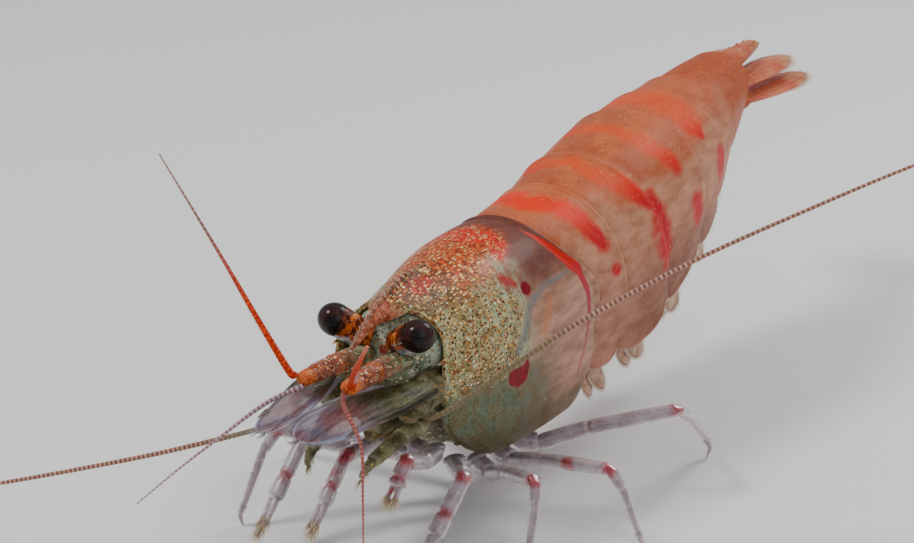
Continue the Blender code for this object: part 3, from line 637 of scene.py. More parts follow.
def headPaint(wire):
    at = place(wire)
    x, y, z = at.axes()
    cloud, fine = at.grain(0.9), at.grain(7.0)
    warp = (cloud - 0.5) * 2.4
    head = (y + warp).fade(5.1, 3.4)
    back = (z + warp * 0.5).fade(7.2, 8.5) * (y + warp).fade(3.6, 5.6)
    light = (y + warp * 0.5).fade(2.0, 3.4) * (y + warp * 0.5).fade(5.4, 4.2) * z.fade(5.2, 6.4)
    streaks = at.stretched((1, 1.6, 0.3)).grain(2.4, 3.0).fade(0.4, 0.62)
    low = (z + warp * 0.5).fade(6.4, 5.1) * (y + warp).fade(7.4, 4.2)
    grit = at.stretched((1, 0.7, 1)).grain(8.0, 4.0, 0.7).fade(0.4, 0.6)
    orangeHere = mark(wire, "orange", 0.4, 0.9, 1.6)
    orange = grit.blend(y.tint(1.5, 3.5, "4a1c0e", "86290a"), y.tint(1.0, 3.0, "c8641e", "e4660e"))
    brow = at.near((0.5, 0.9, 8.75), (1.3, 1.5, 0.9)).fade(0.0, 0.6)
    beakSide = (y + z.fade(8.4, 7.4) * 0.3).fade(0.05, -0.55) * z.fade(7.1, 7.6)
    ground = layered(
        at.stretched((1.0, 0.4, 1.5)).grain(2.0).tint(0.3, 0.7, "a17a66", "c69b84"),
        (back * 0.85, fine.tint(0.4, 0.6, "5c2212", "763826")),
        (head, at.grain(2.2).tint(0.38, 0.62, "988a58", "b9b68c")),
        (light * streaks * 0.8, "b9c0a2"),
        (low * 0.85, at.grain(1.8, 3.0).tint(0.4, 0.65, "6e664a", "5f7262")),
        ((z + warp * 0.3).fade(4.2, 3.3) * 0.7, "61553a"),
        (orangeHere * 0.95, orange),
        (mark(wire, "deep", 0.25, 0.5), grit.blend("b02204", "ea3c04")),
        (brow * fine.fade(0.35, 0.6) * 0.55, "4c4424"),
        (beakSide * 0.9, grit.blend("a8442c", "d8866a")),
        (closeTo(wire, "brim").fade(0.05, 0.6) * 0.85, "e06a24"),
        (mark(wire, "blush", 0.4) * 0.7, "dda088"),
        # pale rim behind the orbit, and a painted highlight on the cheek
        (mark(wire, "pale", 0.42, 0.5) * 0.6, "bcc79e"),
    )
    # colour cells: dark red and black dots, then gold flecks, and white flecks that are partly painted
    # glints, more of them on the brow
    dotted = head * z.fade(5.0, 5.9) * (1 - orangeHere * 0.7) * (1 - beakSide * 0.55)
    dots, own = at.specks(8.8, 0.53)
    small, ownSmall = at.plus((3.1, 1.7, 9.2)).specks(11.0, 0.46)
    smallShare = small * (dotted * ownSmall.fade(0.15, 0.3)).most(low * head * 0.7) * 0.85
    gold, ownGold = at.plus((7.7, 2.9, 4.4)).stretched((1, 0.5, 1)).specks(12.0, 0.55)
    goldShare = gold * (dotted * 0.55).most(orangeHere).fade(0.1, 0.7) * ownGold.fade(0.16, 0.3)
    white, ownWhite = at.plus((1.3, 6.2, 2.8)).stretched((1, 0.7, 1)).specks(8.0, 0.32)
    whiteFleckAndGlintShare = white * dotted.most(orangeHere * 0.5) * ownWhite.fade(brow.fade(1.0, 0.0) * 0.2 + 0.4, 0.7)
    # the spots of the front and the band at the rear edge
    rear = y.fade(5.8, 6.4)
    bandRed = (z + (fine - 0.5)).tint(8.4, 6.4, "d22a14", "a83a4e")
    halo = closeTo(wire, "red").fade(0.16, 0.34) * (1 - rear)
    ticks = at.stretched((0, 1, 0)).grain(9.0, 1.0).fade(0.45, 0.6)
    colour = layered(
        ground,
        (dots * dotted * 0.95, own.tint(0.25, 0.5, "3d140a", "95301a")),
        (smallShare, "3a2614"),
        (goldShare * 0.9, ownGold.tint(0.3, 0.9, "cf8a3a", "f8d894")),
        # white flecks, partly painted glints
        (whiteFleckAndGlintShare * 0.85, "fff6e2"),
        (mark(wire, "groove", 0.3, 0.3) * 0.6, "6f7d80"),
        (mark(wire, "streak", 0.42, 0.5) * 0.6, "c97f58"),
        (mark(wire, "smear", 0.42, 0.5, 3.0) * 0.85, "b42a34"),
        (halo * z.fade(6.8, 6.2) * 0.16, "c4b196"),
        (mark(wire, "red", 0.12, 0.2) * (1 - rear * z.fade(6.6, 4.6) * 0.5),
         rear.blend(fine.tint(0.35, 0.6, "780818", "9a102a"), bandRed)),
        (x.size().fade(0.1, 0.03) * y.fade(2.6, 1.6) * ticks * 0.7, "4a2a1c"),
    )
    rough = fine * 0.25 + 0.34 - goldShare * 0.16
    height = fine * 0.5 + at.grain(22.0, 2.0) * 0.5 + goldShare * 0.8 + dots * dotted * 0.4
    return surface(colour, rough, height, 0.022, {"Metallic": goldShare * 0.3})


def beakFloor(clay, outer, share):  # the beak's underside, between its two lower edges
    reach = int((np.abs(share[0]) <= beak["share"]).sum()) // 2
    middle = len(share[0]) // 2
    left = outer[0, middle:middle + reach + 1]
    right = outer[0, middle - reach:middle + 1][::-1]
    t = np.linspace(0, 1, 7)[None, :, None]
    strip = right[:, None] * (1 - t) + left[:, None] * t
    clay.add(strip, gridFaces(len(left), 7, flip=True), np.zeros((strip.size // 3, 3)))


def beakTeeth(clay, ridge):  # along the beak's back and on to the shell, and a few under its tip
    for number in range(beak["teeth"]):
        y = beak["tip"][0] + 0.14 + beak["toothStep"] * number
        z = np.interp(y, ridge[:, 1], ridge[:, 2])
        tall = beak["toothTall"] * min(1.0, 0.5 + number / 5)
        thorn(clay, (0, y + 0.16, z - 0.05), (0, y - 0.1, z + tall), 0.062, (0, 0.03, 0.04))
    for number in range(beak["lowTeeth"]):
        y = beak["tip"][0] + 0.22 + 0.24 * number
        k = y / beak["tip"][0]
        z = beakTop(k) - beakSizes(k)[1]
        thorn(clay, (0, y + 0.1, z + 0.04), (0, y - 0.08, z - 0.07), 0.03)


def makeHeadShell():
    points, share, k, inBeak = headGrid()
    outer = relief(points, inBeak)
    thick = np.where(inBeak & (points[..., 1] < 0), 0.18 * beakSizes(k)[0], shell["thick"])
    clay = Clay()
    plate(clay, outer, outer - gridNormals(outer) * thick[..., None])
    beakFloor(clay, outer, share)
    beakTeeth(clay, outer[:, outer.shape[1] // 2])
    for side in sides.values():  # the cheek spines
        thorn(clay, (1.5 * side, 0.72, 7.78), (1.53 * side, 0.32, 7.86), 0.075)
        thorn(clay, (1.98 * side, 0.3, 6.86), (1.98 * side, -0.34, 6.84), 0.1)
    marks = {name: (lambda p, lines=lines: strokes(p, lines)) for name, lines in headMarks.items()}
    skin = finish("headShellSkin", headPaint, wetShell)
    toPiece("headShell", clay, skin, ("carapace", "rostrum"), marks)
    return outer


headOuter = makeHeadShell()
print("head shell made")


# Abdomen: six overlapping plates on a bending axis
tail = {
    "lengths": (1.5, 2.6, 3.7, 2.6, 2.3, 4.0),
    "pitch": (0.0, 12.0, 17.0, 12.0, 10.0, 9.0, 3.0), "yaw": (0.0, 0.0, 1.0, 3.0, 5.5, 7.0, 7.0),
    "half": (2.6, 2.75, 2.85, 2.75, 2.45, 2.0, 1.25), "rise": (3.0, 3.1, 3.0, 2.6, 2.1, 1.65, 1.1),
    "drop": (2.9, 3.2, 3.5, 3.1, 2.6, 1.7, 0.95), "start": 6.4, "plateShare": 0.35, "telson": 4.2,
}
rings = {  # per plate: how far its side flap widens, leans back and stands out
    "widen": (0.0, 0.22, 0.06, 0.04, 0.06, -0.12), "back": (0.0, 0.05, 0.1, 0.12, 0.16, 0.0),
    "flare": (-0.03, 0.12, -0.02, 0.0, 0.0, 0.0), "corner": (2.6, 3.2, 2.6, 2.6, 2.6, 2.6),
    "cut": (0.3, 0.3, 0.3, 0.3, 0.3, 0.14), "lap": 0.34, "rear": (0.16, 0.16, 0.16, 0.16, 0.16, -0.05),
    "thick": 0.09, "rim": 0.04, "rimWidth": 0.08, "groove": 0.035, "ridge": 0.025,
}
borders = np.concatenate([[0.0], np.cumsum(tail["lengths"])])


def spineLine(step=0.05):
    distance = np.arange(0.0, borders[-1] + tail["telson"], step)
    pitch = np.radians(np.interp(distance, borders, tail["pitch"]))
    yaw = np.radians(np.interp(distance, borders, tail["yaw"]))
    heading = np.stack([-np.sin(yaw) * np.cos(pitch), np.cos(yaw) * np.cos(pitch), np.sin(pitch)], 1)
    spots = np.vstack([np.zeros(3), np.cumsum(heading[:-1] * step, axis=0)])
    return distance, spots + (0.0, shell["length"], tail["start"]), pitch, yaw


spine = spineLine()


def spineFrame(along):  # origin, across, along and up at a distance down the abdomen, for arrays too
    distance, spots, pitch, yaw = spine
    origin = np.stack([np.interp(along, distance, spots[:, i]) for i in range(3)], -1)
    origin = origin + np.minimum(np.asarray(along), 0)[..., None] * np.array([0, 1.0, 0])
    rise, turn = np.interp(along, distance, pitch), np.interp(along, distance, yaw)
    zero = np.zeros_like(rise)
    across = np.stack([np.cos(turn), np.sin(turn), zero], -1)
    heading = np.stack([-np.sin(turn) * np.cos(rise), np.cos(turn) * np.cos(rise), np.sin(rise)], -1)
    return origin, across, heading, np.cross(across, heading)


def tailSection(along, share, flare, cut):  # a point of the outer line: share 0 on the back, 1 at an edge
    half = np.interp(along, borders, tail["half"]) + flare
    rise = np.interp(along, borders, tail["rise"]) + flare
    drop = np.interp(along, borders, tail["drop"]) * cut
    t = 1 - np.abs(share)
    low = 1 - np.clip(t / tail["plateShare"], 0, 1)
    angle = 0.5 * np.pi * np.clip((t - tail["plateShare"]) / (1 - tail["plateShare"]), 0, 1)
    below = t < tail["plateShare"]
    out = np.where(below, half * (1 - 0.16 * low * low), half * np.abs(np.cos(angle)) ** 0.95)
    up = np.where(below, -drop * low, rise * np.sin(angle))
    origin, across, _, upward = spineFrame(along)
    return origin + across * (out * np.sign(share))[..., None] + upward * up[..., None]


redBands = [  # strokes, as on the head
    (((0.0, 8.5, 9.47), (0.66, 9.06, 9.43), (1.27, 9.35, 9.19)), (0.75, 0.95, 0.85)),
    (((1.27, 9.35, 9.19), (2.04, 9.72, 8.57), (2.43, 10.01, 7.95)), (0.8, 0.8, 0.55)),
    (((2.71, 10.46, 6.97),), 0.4),
    (((0.0, 12.1, 9.95), (0.6, 11.95, 9.85), (1.28, 12.0, 9.62), (1.92, 12.5, 9.25),
      (2.45, 13.1, 8.62)), (0.5, 0.55, 0.75, 0.8, 0.55)),
    (((2.45, 13.5, 8.6), (2.66, 13.65, 7.8), (2.7, 14.1, 6.5)), (0.6, 1.1, 0.9)),
    (((0.0, 14.9, 10.35), (0.6, 14.75, 10.35), (1.46, 14.95, 10.05), (2.3, 15.6, 9.3)),
     (0.5, 0.6, 0.8, 0.6)),
    (((2.63, 16.7, 7.7), (2.63, 17.0, 7.0)), (0.75, 0.7)),
    (((0.0, 18.3, 10.7), (0.9, 18.1, 10.5), (1.6, 18.0, 10.1), (1.95, 18.2, 9.7)), (1.4, 1.5, 1.1, 0.4)),
    (((2.2, 19.4, 8.5), (2.25, 19.7, 7.9)), (0.75, 0.6)),
]


def tailPaint(wire):
    at = place(wire)
    _, y, z = at.axes()
    cloud, fine = at.grain(0.8), at.grain(6.0)
    muscle = at.stretched((1.0, 0.35, 1.0)).grain(2.6)
    side = (z + cloud * 1.6).fade(8.6, 6.4)
    rear = y.fade(10.0, 14.5)
    sideColour = muscle.tint(0.25, 0.75, rear.blend("a17062", "6f4134"), rear.blend("c19080", "8c5b4c"))
    down = y * 0.125 + 8.4 - z  # depth below the ridge
    back = (down + (cloud - 0.5) * 2.0).fade(1.5, 0.3)
    end = (y + (cloud - 0.5) * 4.0).fade(18.5, 24.5)
    glow = mark(wire, "red", 0.62, 0.6, 1.8) * down.fade(2.2, 0.8)
    reds = (down + (fine - 0.5) * 0.8).tint(0.3, 1.5, "ee4012", "c83038")
    broken = at.grain(4.0, 3.0).fade(0.28, 0.48) * 0.25 + 0.75
    faint = 1 - down.fade(1.0, 0.1) * y.fade(10.5, 12.0) * 0.55
    tiny, own = at.specks(6.5, 0.3)
    pale, ownPale = at.plus((4.4, 8.1, 1.3)).specks(6.5, 0.24)
    colour = layered(
        muscle.tint(0.25, 0.75, "b07a60", "cf9d80"),
        (side * 0.7, sideColour),
        (back * 0.8, cloud.tint(0.4, 0.62, "b65c36", "cd6e40")),
        (end * 0.8, fine.tint(0.4, 0.6, "a0441c", "bc5828")),
        (glow * 0.5, "d87a44"),
        (mark(wire, "red", 0.32, 0.8, 2.0) * broken * faint, reds),
        (tiny * own.fade(0.4, 0.55) * back * 0.7, "b03a18"),
        (pale * ownPale.fade(0.6, 0.75) * 0.35, "e8c4a6"),
    )
    height = fine * 0.6 + at.grain(18.0, 2.0) * 0.4
    return surface(colour, fine * 0.25 + 0.34, height, 0.014)


def tailPlate(number, rows=34, columns=105):
    ring = {key: value[number - 1] for key, value in rings.items() if isinstance(value, tuple)}
    front, back = borders[number - 1] - rings["lap"], borders[number] + ring["rear"]
    u = np.linspace(-1, 1, columns)[None, :]
    share = np.sign(u) * np.abs(u) ** 1.05
    v = np.linspace(0, 1, rows)[:, None]
    low = np.clip((np.abs(share) - 0.55) / 0.45, 0, 1)
    length = back - front
    along = front + length * (0.5 + (v - 0.5) * (1 + ring["widen"] * low))
    along = along + ring["back"] * low * low * length
    cut = 1 - ring["cut"] * np.abs(2 * v - 1) ** ring["corner"]
    flare = -0.14 * (1 - v) ** 2.5 + 0.02 * v ** 3 + ring["flare"] * low
    flare = flare - rings["groove"] * np.exp(-((v - 0.2) / 0.045) ** 2) * (1 - low)
    flare = flare + rings["ridge"] * np.exp(-((v - 0.96) / 0.03) ** 2)
    outer = tailSection(*np.broadcast_arrays(along, share, flare, cut))
    if number == 1:  # the first plate follows the slanting rear edge of the head shell
        lean = np.clip(1 - (along - borders[0]) / tail["lengths"][0], 0, 1.2)
        outer[..., 1] += lean * (rearEdge(outer[..., 2]) - shell["length"])
    edge = np.linalg.norm(np.diff(outer, axis=1), axis=-1)
    left = np.hstack([np.zeros((rows, 1)), np.cumsum(edge, axis=1)])
    fromEdge = np.minimum(left, left[:, -1:] - left)
    rim = rings["rim"] * np.exp(-(fromEdge / rings["rimWidth"]) ** 2)
    outer += gridNormals(outer) * rim[..., None]
    clay = Clay()
    plate(clay, outer, outer - gridNormals(outer) * rings["thick"], float(number))
    return clay, outer


def makeAbdomen():
    dull = {**wetShell, "Coat Weight": 0.03, "Specular IOR Level": 0.12}
    skin = finish("tailShellSkin", tailPaint, dull)
    marks = {"red": lambda p: strokes(p, redBands)}
    grids = []
    for number in range(1, 7):
        clay, outer = tailPlate(number)
        toPiece(f"abdomenPlate{number}", clay, skin, (f"abdomen_{number}",), marks)
        grids.append(outer)
    return grids


tailOuter = makeAbdomen()
print("abdomen made")


# Flesh inside the shell, from the face to the tail end
def fleshPaint(wire):
    at = place(wire)
    _, y, z = at.axes()
    cloud, fine = at.grain(1.6), at.grain(8.0)
    tailColour = y.tint(18.0, 22.0, cloud.tint(0.35, 0.65, "b08c7c", "cdb0a0"), "b8562c")
    face = (y + cloud).fade(2.4, 1.0) * z.fade(5.6, 6.6)
    smudge = at.stretched((1, 1, 0.5)).grain(3.6, 4.0, 0.65).fade(0.5, 0.62)
    dots, own = at.specks(10.0, 0.56)
    cells = own.tint(0.3, 0.5, "4a2016", own.tint(0.6, 0.8, "b07a3c", "f0ead0"))
    low, high = at.near((0.06, -0.42, 7.04), (0.2, 0.4, 0.2)), at.near((0.95, -0.3, 8.3), (0.5, 0.4, 0.16))
    blot = low.most(high * 0.7)
    colour = layered(
        (y + cloud * 2).tint(5.0, 9.5, cloud.tint(0.35, 0.65, "6d6a4c", "8c8a70"), tailColour),
        (face * 0.9, cloud.tint(0.4, 0.6, "8f9e82", "c2ccb6")),
        (smudge * face * 0.5, "5c6a50"),
        (dots * own.fade(0.1, 0.25) * y.fade(4.0, 1.0) * 0.85, cells),
        (blot * fine.fade(0.3, 0.5) * 0.85, "a2341e"),
    )
    return surface(colour, fine * 0.2 + 0.3, fine, 0.03)


flesh = {
    "around": 48, "sink": 0.55, "side": 0.8, "floorSide": 0.62, "ridges": 0.06, "tuck": 0.14, "swell": 0.05,
}


def headRing(y, turn):
    halfWidth, crest, margin = (float(v) for v in carapaceSizes(max(y, 0.0))[:3])
    below = np.sin(turn) < 0
    close = math.sqrt(max(1 - ((0.4 - y) / 0.9) ** 2, 0.02)) if y < 0.4 else 1.0
    bottom = margin - 0.02 + 0.5 * max(1 - y / 1.5, 0)
    top = crest - flesh["sink"]
    squash, power = np.where(below, flesh["floorSide"], flesh["side"]), np.where(below, 0.75, 1.0)
    out = flesh["side"] * halfWidth * close * np.sign(np.cos(turn)) * np.abs(np.cos(turn)) ** power
    narrow = np.where(below, 1 - 0.25 * np.abs(np.sin(turn)), 1.0)
    out = out * narrow * (squash / flesh["side"]) ** 0.3
    ridge = flesh["ridges"] * np.cos(np.clip((y - 1) / 1.3, 0, 5) * 2 * np.pi) * (np.sin(turn) < -0.3)
    up = (top + bottom) / 2 + ((top - bottom) / 2 * close + ridge) * np.sin(turn)
    return np.stack([out, np.full(len(turn), y), up], -1)


def tailRing(along, turn):
    full = max(along - borders[5] - 1.0, 0) / 3.0
    tuck = (flesh["tuck"] + 0.12 * (1 - full)) * (1.0 if along < borders[-1] else 2.2)
    half, rise, drop = (float(np.interp(along, borders, tail[name])) for name in ("half", "rise", "drop"))
    half = half * (0.84 + 0.16 * full) - tuck
    origin, across, _, upward = spineFrame(along)
    up = np.where(np.sin(turn) < 0, drop * (0.52 + 0.3 * full), rise - tuck - 0.06) * np.sin(turn)
    half = half * (1 + flesh["swell"] * np.cos(2 * np.pi * np.interp(along, borders, range(7))))
    return origin + across * (half * np.cos(turn))[:, None] + upward * up[:, None]


def makeFlesh():
    turn = 2 * np.pi * np.arange(flesh["around"]) / flesh["around"]
    headPlaces = [-0.45, -0.38, -0.2, 0.05, 0.4, 0.9, *np.linspace(1.5, 9.0, 16)]
    tailPlaces = [*np.linspace(0.5, borders[-1] - 0.1, 34), borders[-1] - 0.03, borders[-1] + 0.05]
    loops = [headRing(y, turn) for y in headPlaces] + [tailRing(along, turn) for along in tailPlaces]
    loops = np.array(loops)
    lays = np.zeros(loops.shape)
    lays[..., 0] = np.linspace(0, 1, len(loops))[:, None]
    clay = Clay()
    clay.tube(loops, lays, [loops[0].mean(0), loops[-1].mean(0)], np.zeros((2, 3)), flip=True)
    skin = finish("bodyFleshSkin", fleshPaint, wetShell)
    toPiece("bodyFlesh", clay, skin, ("thorax_underside",))


makeFlesh()
print("flesh made")


# Eyes on their stalks
def eyePaint(name):
    centre, gaze = mirrored(eyes["centre"], sides[name]), unit(eyes["gaze"][name])

    def painter(wire):
        at = place(wire).plus(tuple(-centre)).scaled(1 / eyes["radius"])
        facing = at.node("VectorMath", {"operation": "DOT_PRODUCT"}, {0: at, 1: tuple(gaze)}, 1)
        fine = at.grain(5.0)
        colour = layered(
            # painted light and shade for the camera's view: reddish brown toward the camera, dark towards
            # the edges
            (facing + fine * 0.2).tint(0.2, 0.95, "1c0806", eyes["glow"]),
            (fine.fade(0.4, 0.6) * 0.3, "2c0f0a"),
            # painted shade: the lower part of the eye darker
            (at.axes()[2].fade(0.3, -0.4) * 0.8, "170604"),
            # painted shade: a dark pseudopupil facing the camera
            ((facing + fine * 0.05).fade(0.84, 1.0), "060202"),
        )
        facet = at.node("TexVoronoi", {"feature": "DISTANCE_TO_EDGE"}, {"Vector": at, "Scale": 26.0})
        return surface(colour, fine * 0.1 + 0.16, facet.fade(0.0, 0.2), 0.003)

    return painter


def stalkPaint(wire):
    along, around, _ = lay(wire)
    at = place(wire)
    fine, cloud = at.grain(9.0), at.grain(3.0, 3.0)
    blots = at.grain(5.0, 4.0, 0.6).fade(0.4, 0.58)
    flecks, own = at.specks(8.0, 0.42)
    under = (around - 0.75 + (cloud - 0.5) * 0.2).size().fade(0.22, 0.1)
    rim = (along + (fine - 0.5) * 0.1).fade(0.72, 0.84) * (1 - under)
    colour = layered(
        blots.blend("6a260c", "d0721a"),
        (flecks * own.fade(0.15, 0.35), own.tint(0.45, 0.75, "3d140a", "f3c878")),
        (under * along.fade(0.15, 0.4) * 0.9, cloud.tint(0.4, 0.6, "6f8f9c", "d8e3e6")),
        (rim * 0.85, blots.blend("2e0f0a", "7a3a20")),
    )
    return surface(colour, fine * 0.2 + 0.25, fine + flecks * 0.6, 0.025)


def makeEye(name, side):
    centre, root = mirrored(eyes["centre"], side), mirrored(eyes["stalkRoot"], side)
    out, gap = unit(centre - root), np.linalg.norm(centre - root)
    radius = eyes["radius"]
    # the ball is slightly longer along the stalk, with a waist where it meets the stalk
    t = np.linspace(0, np.pi, 40)
    lengthwise = -np.cos(t) * radius * np.where(t > np.pi / 2, 1.02, 0.96)
    ring = np.sin(t) * radius * (1 - 0.06 * np.exp(-((t - 0.75) / 0.16) ** 2))
    ball = Clay()
    sweep(ball, centre + out * lengthwise[:, None], ring + 0.002, 48, eyes["flat"])
    gloss = {"Coat Weight": 0.24, "Coat Roughness": 0.06, "IOR": 1.22}
    dress(f"eye_{name}", ball, finish(f"eye{name.title()}Skin", eyePaint(name), gloss))
    t = np.linspace(0, 1, 26)
    path = root + out * (t * (gap - 0.12))[:, None]
    path[:, 2] -= 0.05 * np.sin(np.pi * t)
    cup = np.clip((t - 0.3) / 0.7, 0, 1) ** 0.8
    thick = eyes["stalk"] + 0.05 * np.sin(np.pi * t * 1.2) + (radius * 0.97 - eyes["stalk"]) * cup
    stalk = Clay()
    sweep(stalk, path, thick, 36)
    for number in range(5):  # small bumps on the stalk
        angle = 2.2 * number
        spot = root + out * gap * (0.3 + 0.07 * number)
        away = np.array([math.cos(angle) * 0.36, 0.3 * math.sin(angle), 0.38 * math.sin(angle)])
        thorn(stalk, spot + away * 0.9, spot + away * 1.22, 0.05)
    skin = finish(f"eyestalk{name.title()}Skin", stalkPaint, wetShell)
    dress(f"eyestalk_{name}", stalk, skin)


for eyeName, eyeSide in sides.items():
    makeEye(eyeName, eyeSide)
print("eyes made")


# First feelers: jointed stems and two whips each
stem = {
    "joints": ((0.58, 0.25, 6.72), (0.7, -2.38, 7.0), (0.75, -3.34, 7.03), (0.75, -4.08, 7.05)),
    "radii": ((0.42, 0.37), (0.34, 0.31), (0.29, 0.26)), "tip": (0.75, -4.1, 7.05),
    "lean": {"left": 0.15, "right": 0.0},
    "whipRoots": {"outer": (0.2, -0.02, 0.12), "inner": (-0.08, -0.02, -0.16)},
    "spines": ((0.95, -0.2, 6.8), (1.12, -1.75, 6.98), (0.98, -2.2, 7.02), (1.12, -2.6, 7.06)),
}
shortWhips = {  # red: how much of the length is red; tints: the rings' two colours
    "left": {
        "outer": {"route": ((2.18, -5.6, 8.32), (3.66, -7.6, 9.72), (5.0, -9.4, 10.93)),
                  "thick": 0.14, "thin": 0.05, "red": 0.85, "tints": ("c06a4c", "d08868")},
        "inner": {"route": ((1.36, -4.9, 6.8), (2.5, -5.8, 6.1), (3.3, -7.0, 5.0), (4.3, -8.6, 3.6)),
                  "thick": 0.085, "thin": 0.02, "red": 0, "tints": ("8c4a44", "b07a72")},
    },
    "right": {
        "outer": {"route": ((2.1, -4.1, 8.5), (4.4, -3.3, 10.6), (7.2, -2.3, 13.0)),
                  "thick": 0.12, "thin": 0.022, "red": 0.5, "tints": ("86685e", "a48c82")},
        "inner": {"route": ((1.5, -5.0, 6.42), (2.3, -6.4, 5.6), (2.9, -7.9, 4.9), (3.4, -9.4, 4.2)),
                  "thick": 0.085, "thin": 0.02, "red": 0, "tints": ("95757a", "cdbcc0")},
    },
}


def ringedWhip(clay, path, thick, thin, around=9, power=1.3):  # a tapering whip of small rings
    reach, spacing = steps(path), 0.13
    even = np.arange(0, reach[-1], spacing / 5)
    line = onLine(path, reach, even)
    share = even / reach[-1]
    phase = (even / spacing) % 1
    beads = 1 + 0.13 * (1 - (2 * phase - 1) ** 4) - 0.06
    radii = (thin + (thick - thin) * (1 - share) ** power) * beads
    radii[-3:] *= (0.8, 0.5, 0.2)
    sweep(clay, line, radii, around)
    return line, share


def stemPaint(wire):
    along, around, part = lay(wire)
    at = place(wire)
    cloud, fine = at.grain(2.4), at.grain(9.0)
    base = (along + part + (cloud - 0.5) * 0.5).fade(0.95, 0.45)
    top = (around - 0.25).size().fade(0.24, 0.1)
    specks, own = at.specks(10.0, 0.56)
    dark, ownDark = at.plus((2.2, 6.1, 3.0)).specks(6.5, 0.26)
    tip = (along + part).fade(2.1, 2.75).most(along.fade(0.9, 0.98) * 0.4)
    colour = layered(
        cloud.tint(0.35, 0.62, "84503e", "a87864"),
        (base, cloud.tint(0.4, 0.6, "76805f", "a2a98a")),
        (specks * (top * 0.4 + 0.6) * own.fade(0.05, 0.2),
         own.tint(0.35, 0.5, "a8340f", own.tint(0.6, 0.85, "e08a3c", "f6e6cc"))),
        (dark * ownDark.fade(0.45, 0.6) * 0.8, "5a2a22"),
        (tip * 0.85, fine.tint(0.4, 0.6, "c65a24", "e48a4a")),
    )
    return surface(colour, fine * 0.25 + 0.36, fine + specks * 0.7, 0.03)


def whipPaint(red, tints, long):
    def painter(wire):
        along = lay(wire)[0]
        fine = place(wire).grain(12.0, 3.0)
        rings = along * (950.0 if long else 260.0)
        ring = rings.maths("SINE", rings)
        patches = (along * 60.0).grain(1.0, 2.0).fade(0.35, 0.65)
        colour = layered((ring * 0.5 + 0.5).tint(0.2, 0.85, *tints), (patches * 0.4, tints[0]))
        if red:
            reds = fine.tint(0.4, 0.62, "a82c0c", "dc5618")
            colour = (along + (fine - 0.5) * 0.1).tint(red + 0.2, red - 0.2, colour, reds)
        varying = {"Base Color": colour, "Roughness": fine * 0.2 + 0.3, "height": ring, "depth": 0.006}
        if long:  # olive and clearer near the face
            varying["Base Color"] = layered(colour, (along.fade(0.28, 0.14) * 0.8, "86805e"))
            varying["Alpha"] = along.fade(0.1, 0.28) * 0.4 + 0.6
        return varying

    return painter


def scentHairs(line, share, side):  # rows of hairs under the thick part of an outer whip
    across, ups = carried(line)
    hairs = []
    for index in range(30, int(len(line) * 0.52), 4):
        ahead = unit(line[index + 1] - line[index])
        length = 0.17 * math.sin(math.pi * min(share[index] / 0.55 + 0.12, 1.0)) + 0.05
        for lean in (-0.5, -0.15, 0.2):
            way = -ups[index] + across[index] * lean * side + ahead * 0.9
            hairs.append((line[index], way, length, (share[index], 0.5 + lean * 0.2 + 0.2 * side)))
    return hairs


def makeAntennules():
    hairs = []
    stemSkin = finish("antennuleStemSkin", stemPaint, dullShell)
    for name, side in sides.items():
        clay = Clay()
        joints = mirrored(stem["joints"], side)
        joints[:, 0] += stem["lean"][name] * np.array((0, 0.45, 0.75, 1))
        limb(clay, joints, stem["radii"], 24, 0.85, 0.2)
        spines = mirrored(stem["spines"], side)
        thorn(clay, spines[0], spines[1], 0.15, (0.06 * side, 0, 0))
        thorn(clay, spines[2], spines[3], 0.07)
        dress(f"antennule_stem_{name}", clay, stemSkin)
        tip = np.array(stem["tip"]) + (stem["lean"][name], 0, 0)
        for kind, start in stem["whipRoots"].items():
            whip = shortWhips[name][kind]
            bend = [(tip[0] + 0.35, -4.26, 7.38)] if kind == "outer" else []
            path = through(mirrored([tip + start, *bend, *whip["route"]], side), 90)
            clay = Clay()
            line, share = ringedWhip(clay, path, whip["thick"], whip["thin"], around=11)
            painter = whipPaint(whip["red"], whip["tints"], False)
            skin = finish(f"antennule{kind.title()}Skin{name.title()}", painter, wetShell)
            dress(f"antennule_{kind}_{name}", clay, skin)
            if kind == "outer":
                hairs += scentHairs(line, share, side)
    skin = finish("scentHairSkin", hairPaint("8a97a3", "c7ccd0"), clearHair)
    bristles("scentHairs", hairs, 0.012, skin, 0.1)


makeAntennules()
print("first feelers made")


# Second feelers: base, long whip and flat scale
whips = {
    "left": ((1.8, -1.25, 5.5), (2.7, -1.35, 5.66), (4.4, 0.5, 7.12), (6.2, 2.25, 8.56), (8.8, 4.4, 10.22),
             (11.5, 6.6, 11.66), (14.2, 8.7, 13.0), (16.6, 11.8, 13.86), (18.2, 15.6, 13.9)),
    "right": ((1.8, -1.25, 5.5), (1.65, -2.2, 5.5), (1.9, -3.9, 5.3), (4.2, -6.0, 4.7), (6.7, -7.6, 4.1),
              (9.3, -9.0, 3.5), (12.2, -10.4, 2.9), (15.3, -11.8, 2.2), (18.3, -13.2, 1.4)),
    "thick": 0.09, "thin": 0.025,
}
feelerBase = {
    "bulb": ((1.35, 0.35, 6.05), (1.62, -0.3, 5.98), (1.76, -0.82, 6.04)),
    "joints": ((1.35, -0.1, 5.45), (1.5, -0.95, 5.55), (1.62, -1.62, 5.52), (1.86, -1.42, 5.5)),
    "radii": ((0.42, 0.4), (0.34, 0.33), (0.22, 0.2)), "spine": ((2.05, -0.55, 5.75), (2.22, -1.2, 5.62)),
}
scaleBlade = {"root": (1.8, -0.62, 6.22), "length": 5.9, "width": 1.72, "thick": 0.13, "bow": 0.16}


